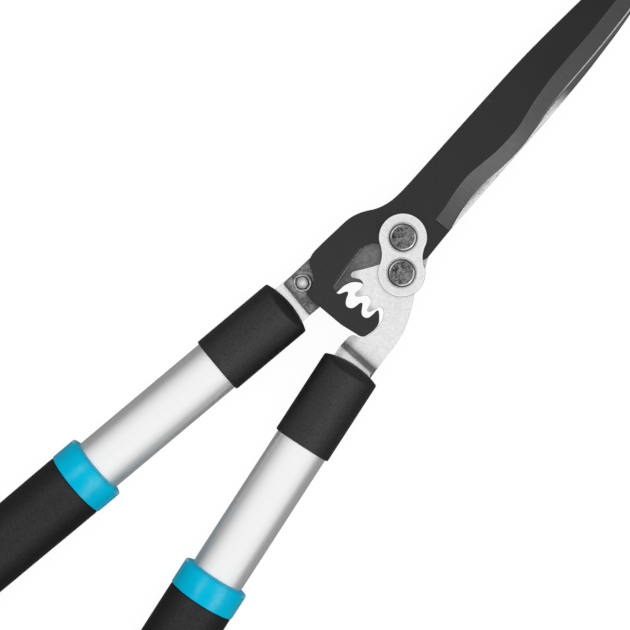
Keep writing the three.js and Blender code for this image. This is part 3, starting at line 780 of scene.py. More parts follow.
def bolt_steel():
    """Handled bolt head: patchy, scratched, with a painted highlight towards its +X, -Y side."""
    s = Surface("bolt_steel")
    dark, pale = 0.024, 0.52
    blot = s.noise(scale=420, detail=6, rough=0.72, warp=0.6)
    middle = s.noise(scale=1000, detail=4, rough=0.65)
    offset = s.attribute("off", "Vector")
    x, y, _ = offset.xyz()
    # painted highlight: paler towards the head's +X, -Y side
    side = ((x * 0.5 + y * -0.86) + (blot - 0.5) * 9.0).remap((-6.0, 6.0), smooth=True)
    colour = blot.remap((0.43, 0.57), smooth=True).between(dark, pale * 0.32)
    colour = colour.toward(pale * 0.88, side * 0.30)
    colour = colour.shade((offset.length() + (middle - 0.5) * 1.6).remap((0, 7)).ramp(
        (0.0, 1.0), (0.28, 0.95), (0.40, 1.0), (0.50, 0.72), (0.70, 0.66), (0.84, 0.95),
        (1.0, 1.0)))
    colour = colour.toward(pale, middle.above(0.52, 0.58) * 0.40)
    scratches = s.streaks(scale=(1500, 130, 130), turn=24).above(0.62, 0.70)
    colour = colour.toward(pale * 1.3, scratches * 0.45)
    s.finish(colour, middle.remap(to=(0.28, 0.48)),
             blot.bump(0.35, depth=0.00018, base=middle.bump(0.25, depth=0.00007)),
             metallic=0.88)


def bevel_shoulder_shadow():
    """Painted shadow on the short shoulder where the grinding begins: near black, for the shade of
    its step.
    """
    s = Surface("bevel_shoulder_shadow")
    s.finish(s.noise(scale=700).remap().between(0.002, 0.006), roughness=0.6, specular=0.15)


def plain_steel(name, tone):
    s = Surface(name)
    fine = s.noise(scale=1500)
    colour = s.noise(scale=300, detail=4).remap().between(tone * 0.82, tone * 1.12)
    s.finish(colour, fine.remap(to=(0.26, 0.40)), fine.bump(strength=0.18, depth=0.00005),
             metallic=0.95)


def rivet_steel():
    """Peened rivet head: bright middle, dark hollow ring, and a bright uneven rim that is a painted
    highlight.
    """
    s = Surface("rivet_steel")
    wobble = s.noise(scale=420, detail=4, rough=0.65)
    radius = s.about(OUTER_RIVET).length() + (wobble - 0.5) * 0.0026
    # painted highlight: the pale ring at about 3.8 to 4.1 mm, on the slope up to the rim
    tone = radius.remap((0, 0.006)).ramp(
        (0.0, 0.78), (0.22, 0.70), (0.34, 0.46), (0.44, 0.36), (0.52, 0.28), (0.56, 0.15),
        (0.595, 0.26), (0.64, 0.62), (0.685, 0.50), (0.74, 0.22), (1.0, 0.18))
    fine = s.noise(scale=1200, detail=4, rough=0.65)
    colour = tone.shade(fine.remap(to=(0.70, 1.2)))
    patches = s.noise(scale=300, detail=4, rough=0.7)
    colour = colour.shade(patches.remap((0.35, 0.6), to=(0.55, 1.15)))
    s.finish(colour, fine.remap(to=(0.26, 0.46)),
             wobble.bump(0.5, depth=0.0003, base=fine.bump(0.25, depth=0.00006)),
             metallic=0.92)


# ------------------------------------------------------------------ materials: handles
def satin_aluminium(handle):
    """Satin tube: fine lines along it, with painted light and shade across it."""
    s = Surface("satin_aluminium_" + handle.side)
    line = s.streaks(scale=(14, 2400, 2400), source=s.mapping(turn=-handle.direction))
    grain = (line.remap(to=(0.985, 1.012))
             * s.noise(scale=2200, detail=2, rough=0.5).remap(to=(0.985, 1.012)))
    # painted shade: darker about 9 mm to the -across side of the middle, full tone on the +across
    # side
    tone = s.across(handle).ramp(
        (0.10, 0.97), (0.17, 0.93), (0.26, 0.86), (0.33, 0.91), (0.42, 0.94), (0.52, 0.945),
        (0.60, 0.97), (0.66, 1.0), (1.0, 1.0))
    s.finish(tone.shade(grain), line.remap(to=(0.40, 0.46)),
             line.bump(strength=0.05, depth=0.00003), metallic=0.92)


def plastic(name, dark, pale, roughness, specular=0.4, handle=None):
    """Grained plastic; on a handle a painted highlight runs along it, just to the +across side of
    the middle.
    """
    s = Surface(name)
    grain = s.noise(scale=1500)
    colour = s.noise(scale=60, rough=0.5).remap().between(dark, pale)
    specks = s.noise(scale=700, detail=2, rough=0.5).above(0.72, 0.82)
    colour = colour.toward(0.3, specks * 0.06)
    if handle is not None:
        patches = s.noise(scale=1000, detail=4, rough=0.65)
        colour = colour.shade(patches.remap(to=(0.35, 1.65)))
        # painted highlight: a pale band along the handle, peaking about 3 mm to the +across side
        band = s.across(handle).ramp(
            (0.0, 0.0), (0.30, 0.16), (0.47, 0.42), (0.585, 1.0), (0.66, 0.85), (0.74, 0.22),
            (0.88, 0.0), ease="B_SPLINE")
        colour = colour.toward((0.044, 0.044, 0.0445), band * patches.remap(to=(0.25, 1.75)))
    s.finish(colour, grain.remap(to=roughness), grain.bump(strength=0.25, depth=0.00006),
             specular=specular)


# painted highlights on the collars, as soft pale patches: centre along and across, spread along and
# across, strength
COLLAR_HIGHLIGHTS = (
    (0.1365, -0.0042, 0.0042, 0.0013, 0.42),
    (0.1370, 0.0062, 0.0050, 0.0017, 0.62),
    (0.1330, 0.0052, 0.0022, 0.0028, 0.22),
)


def collar_blue(handle):
    """Gloss collar with painted highlights in soft patches, painted shade across it and painted
    glints at its corners.
    """
    s = Surface("collar_blue_" + handle.side)
    cloud = s.noise(scale=120, detail=4)
    colour = cloud.remap().between((0.0, 0.61, 0.97), (0.0, 0.69, 1.0))
    # painted shade: darker towards the -across side and in a narrow band on the +across side
    colour = colour.shade(s.across(handle).ramp(
        (0.0, 0.88), (0.12, 0.90), (0.25, 0.92), (0.36, 0.97), (0.5, 1.0), (0.66, 1.0),
        (0.74, 0.93), (0.84, 1.0), (1.0, 1.0)))
    along = s.reach(handle.apex, handle.along)
    across = s.reach(handle.apex, handle.across)
    # painted highlights: soft pale patches where the gloss catches the light
    for along_mid, across_mid, along_size, across_size, strength in COLLAR_HIGHLIGHTS:
        a = (along - along_mid) / along_size
        b = ((across - across_mid) + (s.noise(scale=160) - 0.5) * 0.004) / across_size
        amount = (2.718 ** ((a * a + b * b) * -0.5)) * strength
        amount = amount * s.noise(scale=420, detail=4).remap(to=(0.6, 1.3))
        colour = colour.toward((0.16, 0.80, 1.0), amount)
    # painted glints: the corners at the blade end are painted pale where they catch the light
    corner = (abs(across).remap((0.0158, 0.0176), smooth=True)
              * along.remap((0.1292, 0.1308), to=(1, 0), smooth=True))
    colour = colour.toward((0.75, 0.95, 1.0), corner * 0.8)
    fine_bump = s.noise(scale=1300).bump(strength=0.08, depth=0.00004)
    s.finish(colour, cloud.remap((0.35, 0.65), to=(0.22, 0.38)),
             s.noise(scale=150, detail=4).bump(0.30, depth=0.0004, base=fine_bump),
             tint=(0.02, 0.75, 1.0))


def grip_rubber(handle):
    s = Surface("grip_rubber_" + handle.side)
    grain = s.noise(scale=1100, detail=4, rough=0.65)
    cells = field(s.tree, "TexVoronoi", {"Scale": 900, "Vector": s.place}, "Distance")
    colour = s.noise(scale=50, rough=0.5).remap().between(
        (0.0074, 0.0072, 0.0074), (0.0102, 0.0099, 0.0100))
    # painted highlight: two pale bands along the grip, either side of the middle
    band = s.across(handle).ramp(
        (0.0, 0.04), (0.20, 0.0), (0.275, 0.22), (0.37, 0.80), (0.50, 0.46), (0.665, 1.0),
        (0.755, 0.42), (0.85, 0.0), (1.0, 0.0), ease="B_SPLINE")
    patches = s.noise(scale=900, detail=4, rough=0.65)
    colour = colour.shade(patches.remap(to=(0.35, 1.65)))
    colour = colour.toward((0.0285, 0.028, 0.028), band * patches.remap(to=(0.3, 1.7)))
    colour = colour.toward(0.08, grain.above(0.56, 0.72) * 0.10)
    s.finish(colour, grain.remap(to=(0.50, 0.70)),
             cells.bump(0.22, depth=0.00009, base=grain.bump(0.3, depth=0.00009)),
             specular=0.34)


def make_materials():
    black_coating()
    ground_bevel()
    honed_edge()
    blade_inner_face()
    zinc_plate()  # the plain plating, of which the next three are variants; no piece wears it
    # painted light: the strip's copy of the plating is paler than the plain one, to stand in for
    # the light on it
    zinc_plate("zinc_plate_strip_painted_light", tone=1.0)
    # the link's copy carries a painted rim highlight and painted shade rings round the bolts
    zinc_plate("zinc_plate_link", tone=0.87, painted_rim_highlight=0.65, shaded_ring_centres=(BLADE_PIVOT, GEAR_PIVOT))
    zinc_plate("zinc_plate_lever", worn_tips=True)
    bolt_rim_highlights()
    bolt_steel()
    bevel_shoulder_shadow()
    plain_steel("bright_steel", tone=0.66)
    # painted shade: a near-black copy of the steel for the groove between bolt head and flange
    plain_steel("bolt_recess_shade", tone=0.06)
    rivet_steel()
    for handle in (LEFT, RIGHT):
        satin_aluminium(handle)
    for handle in (LEFT, RIGHT):
        plastic("sleeve_black_" + handle.side, dark=(0.0118, 0.0118, 0.0122),
                pale=(0.0155, 0.0155, 0.016), roughness=(0.44, 0.58), handle=handle)
    plastic("sleeve_black_nose", dark=(0.0150, 0.0150, 0.0153), pale=(0.0190, 0.0190, 0.0195),
            roughness=(0.50, 0.62), specular=0.42)
    plastic("insert_grey", dark=(0.055, 0.055, 0.058), pale=(0.075, 0.075, 0.078),
            roughness=(0.55, 0.7))
    plastic("cap_black", dark=(0.012, 0.012, 0.0125), pale=(0.017, 0.017, 0.0175),
            roughness=(0.42, 0.55))
    for handle in (LEFT, RIGHT):
        collar_blue(handle)
    for handle in (LEFT, RIGHT):
        grip_rubber(handle)


# ------------------------------------------------------------------ blades
# Outline tables hold x, y. The first three describe the front blade; EDGE and BEVEL are
# mirrored in y for the rear one.
SPINE = [(246.9, -1.0), (246.2, -0.1), (238, 0.9), (225, 3.0), (210, 5.3), (195, 7.4),
         (180, 9.3), (165, 10.9), (150, 12.2), (137, 13.2), (125.4, 14.0), (105.9, 15.0),
         (60, 15.6), (21.2, 15.9), (14.8, 16.2), (9.8, 16.9), (5.3, 18.3), (1.4, 20.3),
         (-2.2, 22.9), (-5.6, 24.9), (-10.5, 26.7), (-20, 27.8), (-31.7, 28.8), (-35.6, 28.9),
         (-38.4, 28.3), (-40.6, 27.0), (-42.3, 24.8), (-44.5, 21.0), (-46.1, 19.5)]
EDGE = [(19.9, -15.4), (23.1, -14.6), (27, -13.8), (32, -13.0), (37, -12.45), (42.4, -12.2),
        (48.8, -12.45), (54, -13.05), (59, -13.8), (64.4, -14.4), (70, -14.7), (75.8, -14.7),
        (81, -14.35), (86.6, -13.75), (92, -13.0), (97, -12.45), (102.5, -12.15), (110, -12.0),
        (123, -11.8), (136, -11.55), (149, -10.95), (161, -10.2), (175, -8.7), (190, -7.0),
        (205, -5.4), (220, -4.0), (235, -2.9), (244.5, -2.4)]
BEVEL = [(17.2, -6.5), (26.6, -5.6), (33.2, -4.6), (40.2, -3.9), (46.4, -3.9), (54.4, -5.1),
         (63.1, -6.4), (71.8, -6.9), (80.6, -6.7), (88.3, -5.4), (95.3, -4.1), (101.1, -3.5),
         (107, -2.9), (112.8, -2.5), (123.8, -2.3), (136.9, -2.3), (149, -1.8), (160.9, -1.2),
         (175, -0.6), (190, 0.0), (205, 0.4), (220, 0.6), (235, 0.2), (243, -0.4),
         (252, -1.2)]
# the front blade's toothed end, notch and the corner between hub and cutting edge
TAIL = [(-53.5, 17.6), (-54.2, 15.0), (-54.3, 12.0), (-53.9, 7.9)]
GEAR = [(-53.9, 7.9), (-53.7, 0.5), (-53.5, -5.7), (-52.9, -9.5), (-52.1, -14.0),
        (-51.5, -17.0), (-50.2, -18.6), (-47.6, -19.5), (-44.4, -20.1), (-42.0, -20.0),
        (-40.0, -19.3), (-38.4, -18.1), (-36.3, -16.05), (-35.75, -15.1), (-35.95, -14.68),
        (-36.85, -14.49), (-38.6, -14.38), (-40.5, -14.13), (-41.6, -13.8), (-42.5, -13.0),
        (-43.0, -11.9), (-42.9, -10.7), (-42.2, -9.6), (-40.2, -8.1), (-38.65, -7.05),
        (-38.28, -6.4), (-38.45, -6.05), (-39.2, -5.62), (-41.1, -5.27), (-42.6, -4.9),
        (-43.85, -4.1), (-44.55, -2.9), (-44.65, -1.6), (-43.9, -0.4), (-41.9, 0.9),
        (-39.65, 1.78), (-38.9, 2.5), (-38.93, 2.95), (-39.3, 3.38), (-41.0, 4.4),
        (-42.4, 5.2), (-42.95, 6.1), (-43.1, 7.0), (-42.9, 8.2), (-41.5, 9.1)]
NOTCH = [(-41.5, 9.1), (-35, 9.95), (-28.3, 10.8), (-21.7, 11.5), (-17.3, 11.8), (-14.2, 10.9),
         (-12.2, 9.5), (-10.2, 7.0)]
HEEL = [(-1.2, -8.7), (-1.5, -11.5), (-1.8, -14.2), (-1.3, -15.3), (-0.2, -15.9), (1.4, -16.1),
        (10, -15.7), (19.9, -15.4)]
# the rear blade: +Y side of its hub, end of its tang, -Y side of the tang, spine
REAR_HUB = [(19.9, 15.4), (12, 15.2), (6, 16.2), (1.4, 18.6), (-2.5, 21.3), (-6, 23.3),
            (-10.5, 25.4), (-20, 26.6), (-31.7, 27.7), (-39.7, 28.5), (-56.4, 29.85)]
REAR_END = [(-57.2, 29.7), (-57.6, 29.0), (-60.6, 10.0), (-60.4, 9.4), (-59.8, 9.25)]
REAR_TANG = [(-59.8, 9.25), (-54.6, 8.45), (-48.6, 7.45), (-42.8, 6.55), (-40.5, 6.4),
             (-38.2, 6.2), (-35.4, 5.2), (-33.2, 3.8), (-31.6, 1.8), (-30.9, 0.2)]
REAR_SPINE = [(1.4, -16.2), (20, -15.5), (60, -15.4), (108, -15.0), (125.7, -14.4),
              (140, -13.4), (150, -12.6), (165, -10.9), (180, -9.3), (195, -7.4),
              (210, -5.3), (225, -3.0), (238, -0.9), (246.2, 0.1), (246.9, 1.0)]

EDGE_THICKNESS = 0.35
HONE_WIDTH, HONE_DEPTH = 0.75, 0.42     # the honed strip along the cutting edge
SHOULDER = 0.45                         # length over which the grinding runs in
START_X = 17.0                          # no grinding lies on the -X side of this
COUNTERSINK_R = 4.6

edge_line = spline(EDGE, 1.2)
bevel_line = spline(BEVEL, 1.0)


def start_x(y):
    """x of the bevel's slanted start line at height y (front blade)."""
    return 17.2 + (y + 6.5) * (17.65 - 17.2) / (-15.4 + 6.5)


def bevel_y(x):
    return np.interp(x, bevel_line[:, 0], bevel_line[:, 1])


def edge_y(x):
    return np.interp(x, edge_line[:, 0], edge_line[:, 1])


def ground_depth(x, y):
    """How far the front blade's top is ground down at (x, y); 0 outside the bevel."""
    width = np.maximum(bevel_y(x) - edge_y(x), 0.5)
    t = (bevel_y(x) - y) / width
    full = PLATE - EDGE_THICKNESS
    hone = 0.9 * HONE_WIDTH / width
    depth = np.where(t < 1 - hone, t * (full - HONE_DEPTH) / (1 - hone),
                     (full - HONE_DEPTH) + (t - (1 - hone)) / hone * HONE_DEPTH)
    ground = (t > 0) & (x > start_x(y)) & (x > START_X)
    run_in = np.clip((x - start_x(y)) / SHOULDER, 0, 1)
    return np.where(ground, np.clip(depth, 0, full), 0.0) * np.where(x < 24, run_in, 1.0)


def mirror(line):
    return [(p[0], -p[1]) for p in line]


BEVEL_EDGES = [bevel_line[bevel_line[:, 0] < 246],
               [(start_x(y) - 0.02, y) for y in np.linspace(-6.5, -15.2, 14)],
               [(start_x(y) + SHOULDER, y) for y in np.linspace(-6.5, -14.9, 14)],
               [(x, y + HONE_WIDTH) for x, y in edge_line if 21 < x < 243]]
BEVEL_POINTS = [(x, float(bevel_y(x)) + side)
                for x in np.arange(18, 244, 1.6) for side in (-0.15, 0.15)]

# slots of both blades
BLADE_MATERIALS = ("black_coating", "ground_bevel", "honed_edge", "blade_inner_face",
                   "bevel_shoulder_shadow")
COATED, GROUND, HONED, INNER, SHOULDER_SHADOW = range(5)


def bevel_slot(x, y, outward, least_outward):
    """Slot on the bevelled side, in the front blade's x and y."""
    if x > START_X and y < float(bevel_y(x)):
        # the shoulder where the grinding begins takes the painted shadow
        if start_x(y) - 0.03 < x < start_x(y) + 0.44 and outward > 0.05:
            return SHOULDER_SHADOW
        if x > start_x(y) - 0.01 and outward > least_outward:
            return HONED if (y < float(edge_y(x)) + HONE_WIDTH and x > 20.5) else GROUND
    return COATED


def front_slot(x, y, normal_z):
    if normal_z < -0.5:
        return INNER if x > 12 else COATED
    return bevel_slot(x, y, normal_z, least_outward=-1.0)


def rear_slot(x, y, normal_z):
    if normal_z > 0.5 or (x < -8 and normal_z > -0.5):
        return INNER
    return bevel_slot(x, -y, -normal_z, least_outward=0.3)


def front_blade():
    tail = arc(OUTER_RIVET, 5.0, -48, -112, 6) + TAIL
    outline = join(spline(SPINE, 1.2), spline(tail, 0.4), spline(GEAR, 0.22),
                   spline(NOTCH, 0.6), arc(BLADE_PIVOT, HUB_R, 152, 262, 40),
                   spline(HEEL, 0.7), edge_line, [(246.1, -2.0)])
    blade = slab("front_blade_steel", outline, [bolt_hole(BLADE_PIVOT)],
                 top=lambda p: FRONT_TOP - ground_depth(p[:, 0], p[:, 1]), bottom=FRONT_LOW,
                 round_top=0.32, round_bottom=0.18, grid=4.0, lines=BEVEL_EDGES,
                 extra=BEVEL_POINTS, slot_at=front_slot)
    finish(blade, "moving_blade", "front_blade", "coated_blade", *BLADE_MATERIALS)


def rear_top(points):
    """Flat, countersunk round the inner rivet."""
    radius = np.hypot(points[:, 0] - INNER_RIVET[0], points[:, 1] - INNER_RIVET[1])
    sink = np.clip((COUNTERSINK_R - radius) / (COUNTERSINK_R - RIVET_HOLE_R), 0, 1) * 1.9
    return REAR_TOP - np.where(radius < COUNTERSINK_R, sink, 0)


def rear_blade():
    round_pivot = (arc(GEAR_PIVOT, 19.5, 153, 198, 7)
                   + [polar(GEAR_PIVOT, 17.0, 214), polar(GEAR_PIVOT, 14.0, 232)]
                   + arc(GEAR_PIVOT, 11.7, 252, 312, 7))
    outline = join(spline(mirror(EDGE)[::-1], 1.4), spline(REAR_HUB, 0.8), REAR_END,
                   spline(REAR_TANG + round_pivot + [(-2.2, -17.9), (1.4, -16.2)], 0.5),
                   spline(REAR_SPINE, 1.4), [(246.1, 2.0)])
    holes = [bolt_hole(BLADE_PIVOT), bolt_hole(GEAR_PIVOT), small_hole(OUTER_RIVET),
             small_hole(INNER_RIVET)]
    blade = slab("rear_blade_steel", outline, holes, top=rear_top,
                 bottom=lambda p: REAR_LOW + ground_depth(p[:, 0], -p[:, 1]),
                 round_top=0.22, round_bottom=0.3, grid=4.0,
                 lines=[mirror(line) for line in BEVEL_EDGES]
                 + [arc(INNER_RIVET, COUNTERSINK_R, 0, 360, 40)],
                 extra=mirror(BEVEL_POINTS) + arc(INNER_RIVET, 3.6, 0, 350, 30),
                 slot_at=rear_slot)
    finish(blade, "fixed_half", "rear_blade", "ground_blade", *BLADE_MATERIALS)


# ------------------------------------------------------------------ link plate
PRESSED_RING_R = 7.55


def link_top(points):
    """Flat, with a shallow pressed ring round each bolt head."""
    z = np.full(len(points), LINK_TOP)
    for centre in (BLADE_PIVOT, GEAR_PIVOT):
        radius = np.hypot(points[:, 0] - centre[0], points[:, 1] - centre[1])
        z -= 0.10 * np.exp(-((radius - PRESSED_RING_R) / 0.28) ** 2)
    return z


def link_plate():
    length = float(np.hypot(*GEAR_PIVOT))
    angle = math.atan2(GEAR_PIVOT[1], GEAR_PIVOT[0])
    cosine, sine = math.cos(angle), math.sin(angle)
    # drawn along x from the blade pivot, then turned to the gear pivot
    shape = (arc((0, 0), 12.2, 78, 282, 60)
             + [(4.9, -11.05), (length / 2, -10.35), (length - 4.9, -10.9)]
             + arc((length, 0), 12.0, -102, 102, 60)
             + [(length - 4.9, 10.9), (length / 2, 10.35), (4.9, 11.05)])
    outline = join([(x * cosine - y * sine, x * sine + y * cosine)
                    for x, y in spline(shape, 0.6, closed=True)])
    ring_points = [polar(centre, radius, angle) for centre in (BLADE_PIVOT, GEAR_PIVOT)
                   for radius in (6.9, 7.15, 7.35, PRESSED_RING_R, 7.75, 7.95, 8.3)
                   for angle in range(0, 360, 4)]
    link = slab("link_plate_steel", outline, [bolt_hole(BLADE_PIVOT), bolt_hole(GEAR_PIVOT)],
                top=link_top, bottom=LINK_LOW, round_top=0.38, round_bottom=0.2, grid=2.0,
                extra=ring_points)
    finish(link, "fixed_half", "link_plate", "plated_steel", "zinc_plate_link")


# ------------------------------------------------------------------ gear lever
# x, y of its edges: the teeth, from them to the hub, the -Y side, and back to the teeth
TEETH = [(-33.75, -16.9), (-33.61, -15.94), (-33.9, -14.5), (-35.37, -13.92), (-36.03, -13.75),
         (-37.76, -13.0), (-38.95, -12.4), (-39.5, -12.0), (-39.65, -11.45), (-39.0, -10.66),
         (-37.3, -10.25), (-35.48, -9.78), (-34.25, -9.0), (-33.72, -7.62), (-33.68, -6.18),
         (-34.55, -4.97), (-36.16, -3.8), (-37.3, -2.62), (-37.78, -1.95), (-37.45, -1.0),
         (-36.55, -0.58), (-34.8, -0.85), (-32.96, -1.14), (-31.46, -0.92), (-30.6, -0.14),
         (-30.1, 1.11), (-30.3, 2.76), (-31.2, 4.3), (-32.0, 5.84), (-31.97, 6.7),
         (-31.35, 7.32), (-30.4, 7.6), (-29.3, 7.5)]
TEETH_TO_HUB = [(-29.3, 7.5), (-26.0, 5.1), (-22, 2.4), (-18.2, 0.1), (-10.35, -3.34)]
LEVER_OUTER = [(-12.2, -20.8), (-14.6, -21.9), (-17.4, -23.2), (-20.8, -25.3), (-27.3, -28.6),
               (-35.0, -31.6), (-42.3, -32.9), (-50.9, -33.6)]
LEVER_INNER = [(-57.5, -12.75), (-54.9, -13.0), (-53.5, -13.9), (-52.7, -15.4), (-52.1, -17.1),
               (-51.2, -18.4), (-49.5, -19.45), (-47.3, -20.0), (-44.4, -20.45), (-42.0, -20.4),
               (-39.6, -20.1), (-37.0, -19.4), (-34.9, -18.1), (-33.75, -16.9)]
BEND_START, BEND_END = -50.0, -65.0
BEND_DROP = 7.9
# x and relative slope along the offset bend
BEND = [(-48.5, 0.0), (-50.2, 0.057), (-52.1, 0.114), (-54.1, 0.206), (-55.1, 0.24),
        (-56.1, 0.31), (-57.1, 0.40), (-58.1, 0.60), (-59.1, 1.0), (-59.7, 2.2), (-60.15, 3.3),
        (-60.6, 2.3), (-61.05, 0.8), (-62.0, 0.3), (-63.0, 0.12), (-64.0, 0.03), (-65.0, 0.0)]


def bend_profile():
    """x, top and underside of the offset bend from the side, in rising x: a long round
    shoulder, then a tight inner corner."""
    xs = np.linspace(BEND_START + 8, BEND_END - 8, 1200)
    bend = np.array(BEND[::-1])
    slope = np.interp(xs, bend[:, 0], bend[:, 1])
    kernel = np.exp(-0.5 * (np.arange(-40, 41) / 11.0) ** 2)
    slope = np.convolve(np.pad(slope, 40, mode="edge"), kernel / kernel.sum(), mode="valid")
    step = abs(xs[1] - xs[0])
    slope = slope * BEND_DROP / (slope.sum() * step)
    top = -np.cumsum(slope) * step
    # the underside lies one plate thickness below the top, measured square to it
    gap = np.abs(xs[:, None] - xs[None, :])
    depth = np.sqrt(np.clip(PLATE ** 2 - gap ** 2, 0, None))
    low = np.where(gap < PLATE, top[None, :] - depth, np.inf).min(1)
    return xs[::-1], top[::-1], low[::-1]


def gear_lever():
    bend_x, bend_top, bend_low = bend_profile()

    def level(bend_z):
        def height(points):
            # the bend runs slightly askew across the lever
            x, y = points[:, 0], points[:, 1]
            skewed = x - np.where(x < -46, -0.01 * (y + 26), 0.0)
            return FRONT_TOP + np.interp(skewed, bend_x, bend_z)
        return height

    outer = [polar(GEAR_PIVOT, HUB_R, -62)] + LEVER_OUTER + [RIGHT.at(-3, STRIP_W)]
    shank = STRIP_END - STRIP_CORNER
    outline = join(spline(TEETH, 0.22), spline(TEETH_TO_HUB, 0.6),
                   arc(GEAR_PIVOT, HUB_R, 66, -62, 50), spline(outer, 0.9),
                   straight(RIGHT.at(2, STRIP_W), RIGHT.at(shank, STRIP_W)),
                   [RIGHT.at(shank, STRIP_W), RIGHT.at(STRIP_END, STRIP_W - STRIP_CORNER),
                    RIGHT.at(STRIP_END, -STRIP_W + STRIP_CORNER), RIGHT.at(shank, -STRIP_W)],
                   straight(RIGHT.at(shank, -STRIP_W), RIGHT.at(0, -STRIP_W)),
                   spline([RIGHT.at(-4, -STRIP_W)] + LEVER_INNER, 0.4))
    bend_points = [(x, y) for x in np.arange(BEND_END - 2, BEND_START + 5, 0.30)
                   for y in np.arange(-38, -10, 1.5)]
    lever = slab("gear_lever_steel", outline,
                 [bolt_hole(GEAR_PIVOT), small_hole(RIGHT.at(PIN_AT, 0), PIN_HOLE_R)],
                 top=level(bend_top), bottom=level(bend_low), round_top=0.16,
                 round_bottom=0.20, grid=3.0, extra=bend_points, sharp=40)
    finish(lever, "lever_half", "gear_lever", "plated_steel", "zinc_plate_lever")


def left_tang():
    """The fixed handle's strip, with a round end under the rear blade."""
    shank, inward = STRIP_END - STRIP_CORNER, -19
    half = STRIP_W - 0.1
    round_end = [LEFT.at(inward + 9.5 * math.cos(rad(a)), half * math.sin(rad(a)))
                 for a in range(90, 271, 6)]
    outline = join([LEFT.at(STRIP_END, -STRIP_W + STRIP_CORNER),
                    LEFT.at(STRIP_END, STRIP_W - STRIP_CORNER), LEFT.at(shank, STRIP_W)],
                   straight(LEFT.at(shank, STRIP_W), LEFT.at(inward, half)), round_end,
                   straight(LEFT.at(inward, -half), LEFT.at(shank, -STRIP_W)))
    # the last run stops short of the corner at (shank, -STRIP_W), which stays cut
    holes = [small_hole(OUTER_RIVET), small_hole(INNER_RIVET),
             small_hole(LEFT.at(PIN_AT, 0), PIN_HOLE_R)]
    tang = slab("left_tang_strip", outline, holes, top=TANG_TOP, bottom=TANG_LOW,
                round_top=0.16, round_bottom=0.2, grid=4.0)
    finish(tang, "fixed_half", "left_tang", "plated_steel", "zinc_plate_strip_painted_light")


# ------------------------------------------------------------------ pivots and rivets
FLANGE_Z = LINK_TOP + 0.1
NUT_HALF = 6.5  # half the nut's width across flats


def pivot_bolt(name, centre):
    """Threaded shank, flange and a low head whose rim carries painted highlights."""
    thread = []
    z = SHEAR_Z - 11.9
    while z < REAR_LOW - 7.0:
        thread += [(4.0, z), (3.66, z + 0.31), (3.66, z + 0.36)]
        z += 0.7
    low, flange = SHEAR_Z - 12.8, FLANGE_Z
    profile = [(0, low), (3.0, low), (3.7, SHEAR_Z - 12.2)] + thread + [
        (4.0, flange), (7.3, flange), (7.48, flange + 0.16), (7.48, flange + 0.46),
        (7.34, flange + 0.66), (7.05, flange + 0.74), (6.92, flange + 0.42),
        (6.66, flange + 0.38), (6.58, flange + 0.8), (6.54, -0.46), (6.48, -0.36),
        (5.92, -0.10), (5.82, -0.08), (5.72, -0.11), (5.5, -0.22), (5.2, -0.26),
        (3.7, -0.19), (3.35, -0.11), (3.1, -0.07), (0, -0.06)]
    bolt = turned(name + "_bolt_steel", fillet(profile, 0.12, 2), centre, 120, sharp=50)
    finish(bolt, "fixed_half", name + "_bolt", "bolt_steel",
           "bolt_steel", "bright_steel", "bolt_recess_shade", "bolt_rim_highlights")
    head, bright, recess, rim = range(4)

    def slot_at(x, y, z):
        radius = math.hypot(x - centre[0], y - centre[1])
        if 5.80 < radius < 6.53 and z > -0.47:
            return rim
        if z < flange - 0.05 or radius > 6.9:
            return bright
        # the groove between head and flange takes the painted-shade steel
        return recess if radius > 6.47 else head

    assign_slots(bolt, slot_at)
    # offset from the bolt's own axis, in mm
    point_attribute(bolt, "off", "FLOAT_VECTOR", "vector",
                    [(vert.co.x / MM - centre[0], vert.co.y / MM - centre[1], 0.0)
                     for vert in bolt.data.vertices])


def pivot_washer(name, centre):
    bore = HOLE_R + 0.02
    # radius, depth below the rear blade
    profile = [(bore, 0.1), (bore, 1.3), (7.7, 1.3), (7.92, 1.22), (8.0, 1.05), (8.0, 0.35),
               (7.92, 0.18), (7.7, 0.1)]
    washer = turned(name + "_washer_steel", [(r, REAR_LOW - depth) for r, depth in profile],
                    centre, closed=True)
    finish(washer, "fixed_half", name + "_washer", "bright_steel", "bright_steel")


def pivot_nut(name, centre):
    low, top = REAR_LOW - 7.9, REAR_LOW - 1.4
    profile = [(HOLE_R, low + 0.5), (HOLE_R + 0.55, low), (6.25, low), (NUT_HALF, low),
               (NUT_HALF, top), (6.45, top), (HOLE_R + 0.5, top), (HOLE_R, top - 0.4)]
    hex_low, hex_top = 3, 4  # profile rows that take the hexagon's shape

    def hexagon(row, angle, radius, z):
        if row not in (hex_low, hex_top):
            return radius, z
        from_flat = (angle + math.pi / 6) % (math.pi / 3) - math.pi / 6
        radius = radius / math.cos(from_flat)
        radius -= 0.14 * max(0.0, (abs(from_flat) - 0.45) / 0.0736)
        if row == hex_low:
            return radius, low + max(0.0, radius - 6.25) * 0.62 + 0.03
        return radius, top - max(0.0, radius - 6.45) * 0.35 - 0.02

    nut = turned(name + "_nut_steel", profile, centre, 120, sharp=28, closed=True,
                 reshape=hexagon)
    finish(nut, "fixed_half", name + "_nut", "bright_steel", "bright_steel")


# radius, z of the part that both rivets share, under the strip
RIVET_TAIL = [(0, TANG_LOW - 1.7), (2.6, TANG_LOW - 1.68), (3.7, TANG_LOW - 1.15),
              (4.2, TANG_LOW - 0.3), (4.1, TANG_LOW - 0.1), (2.5, TANG_LOW - 0.1)]
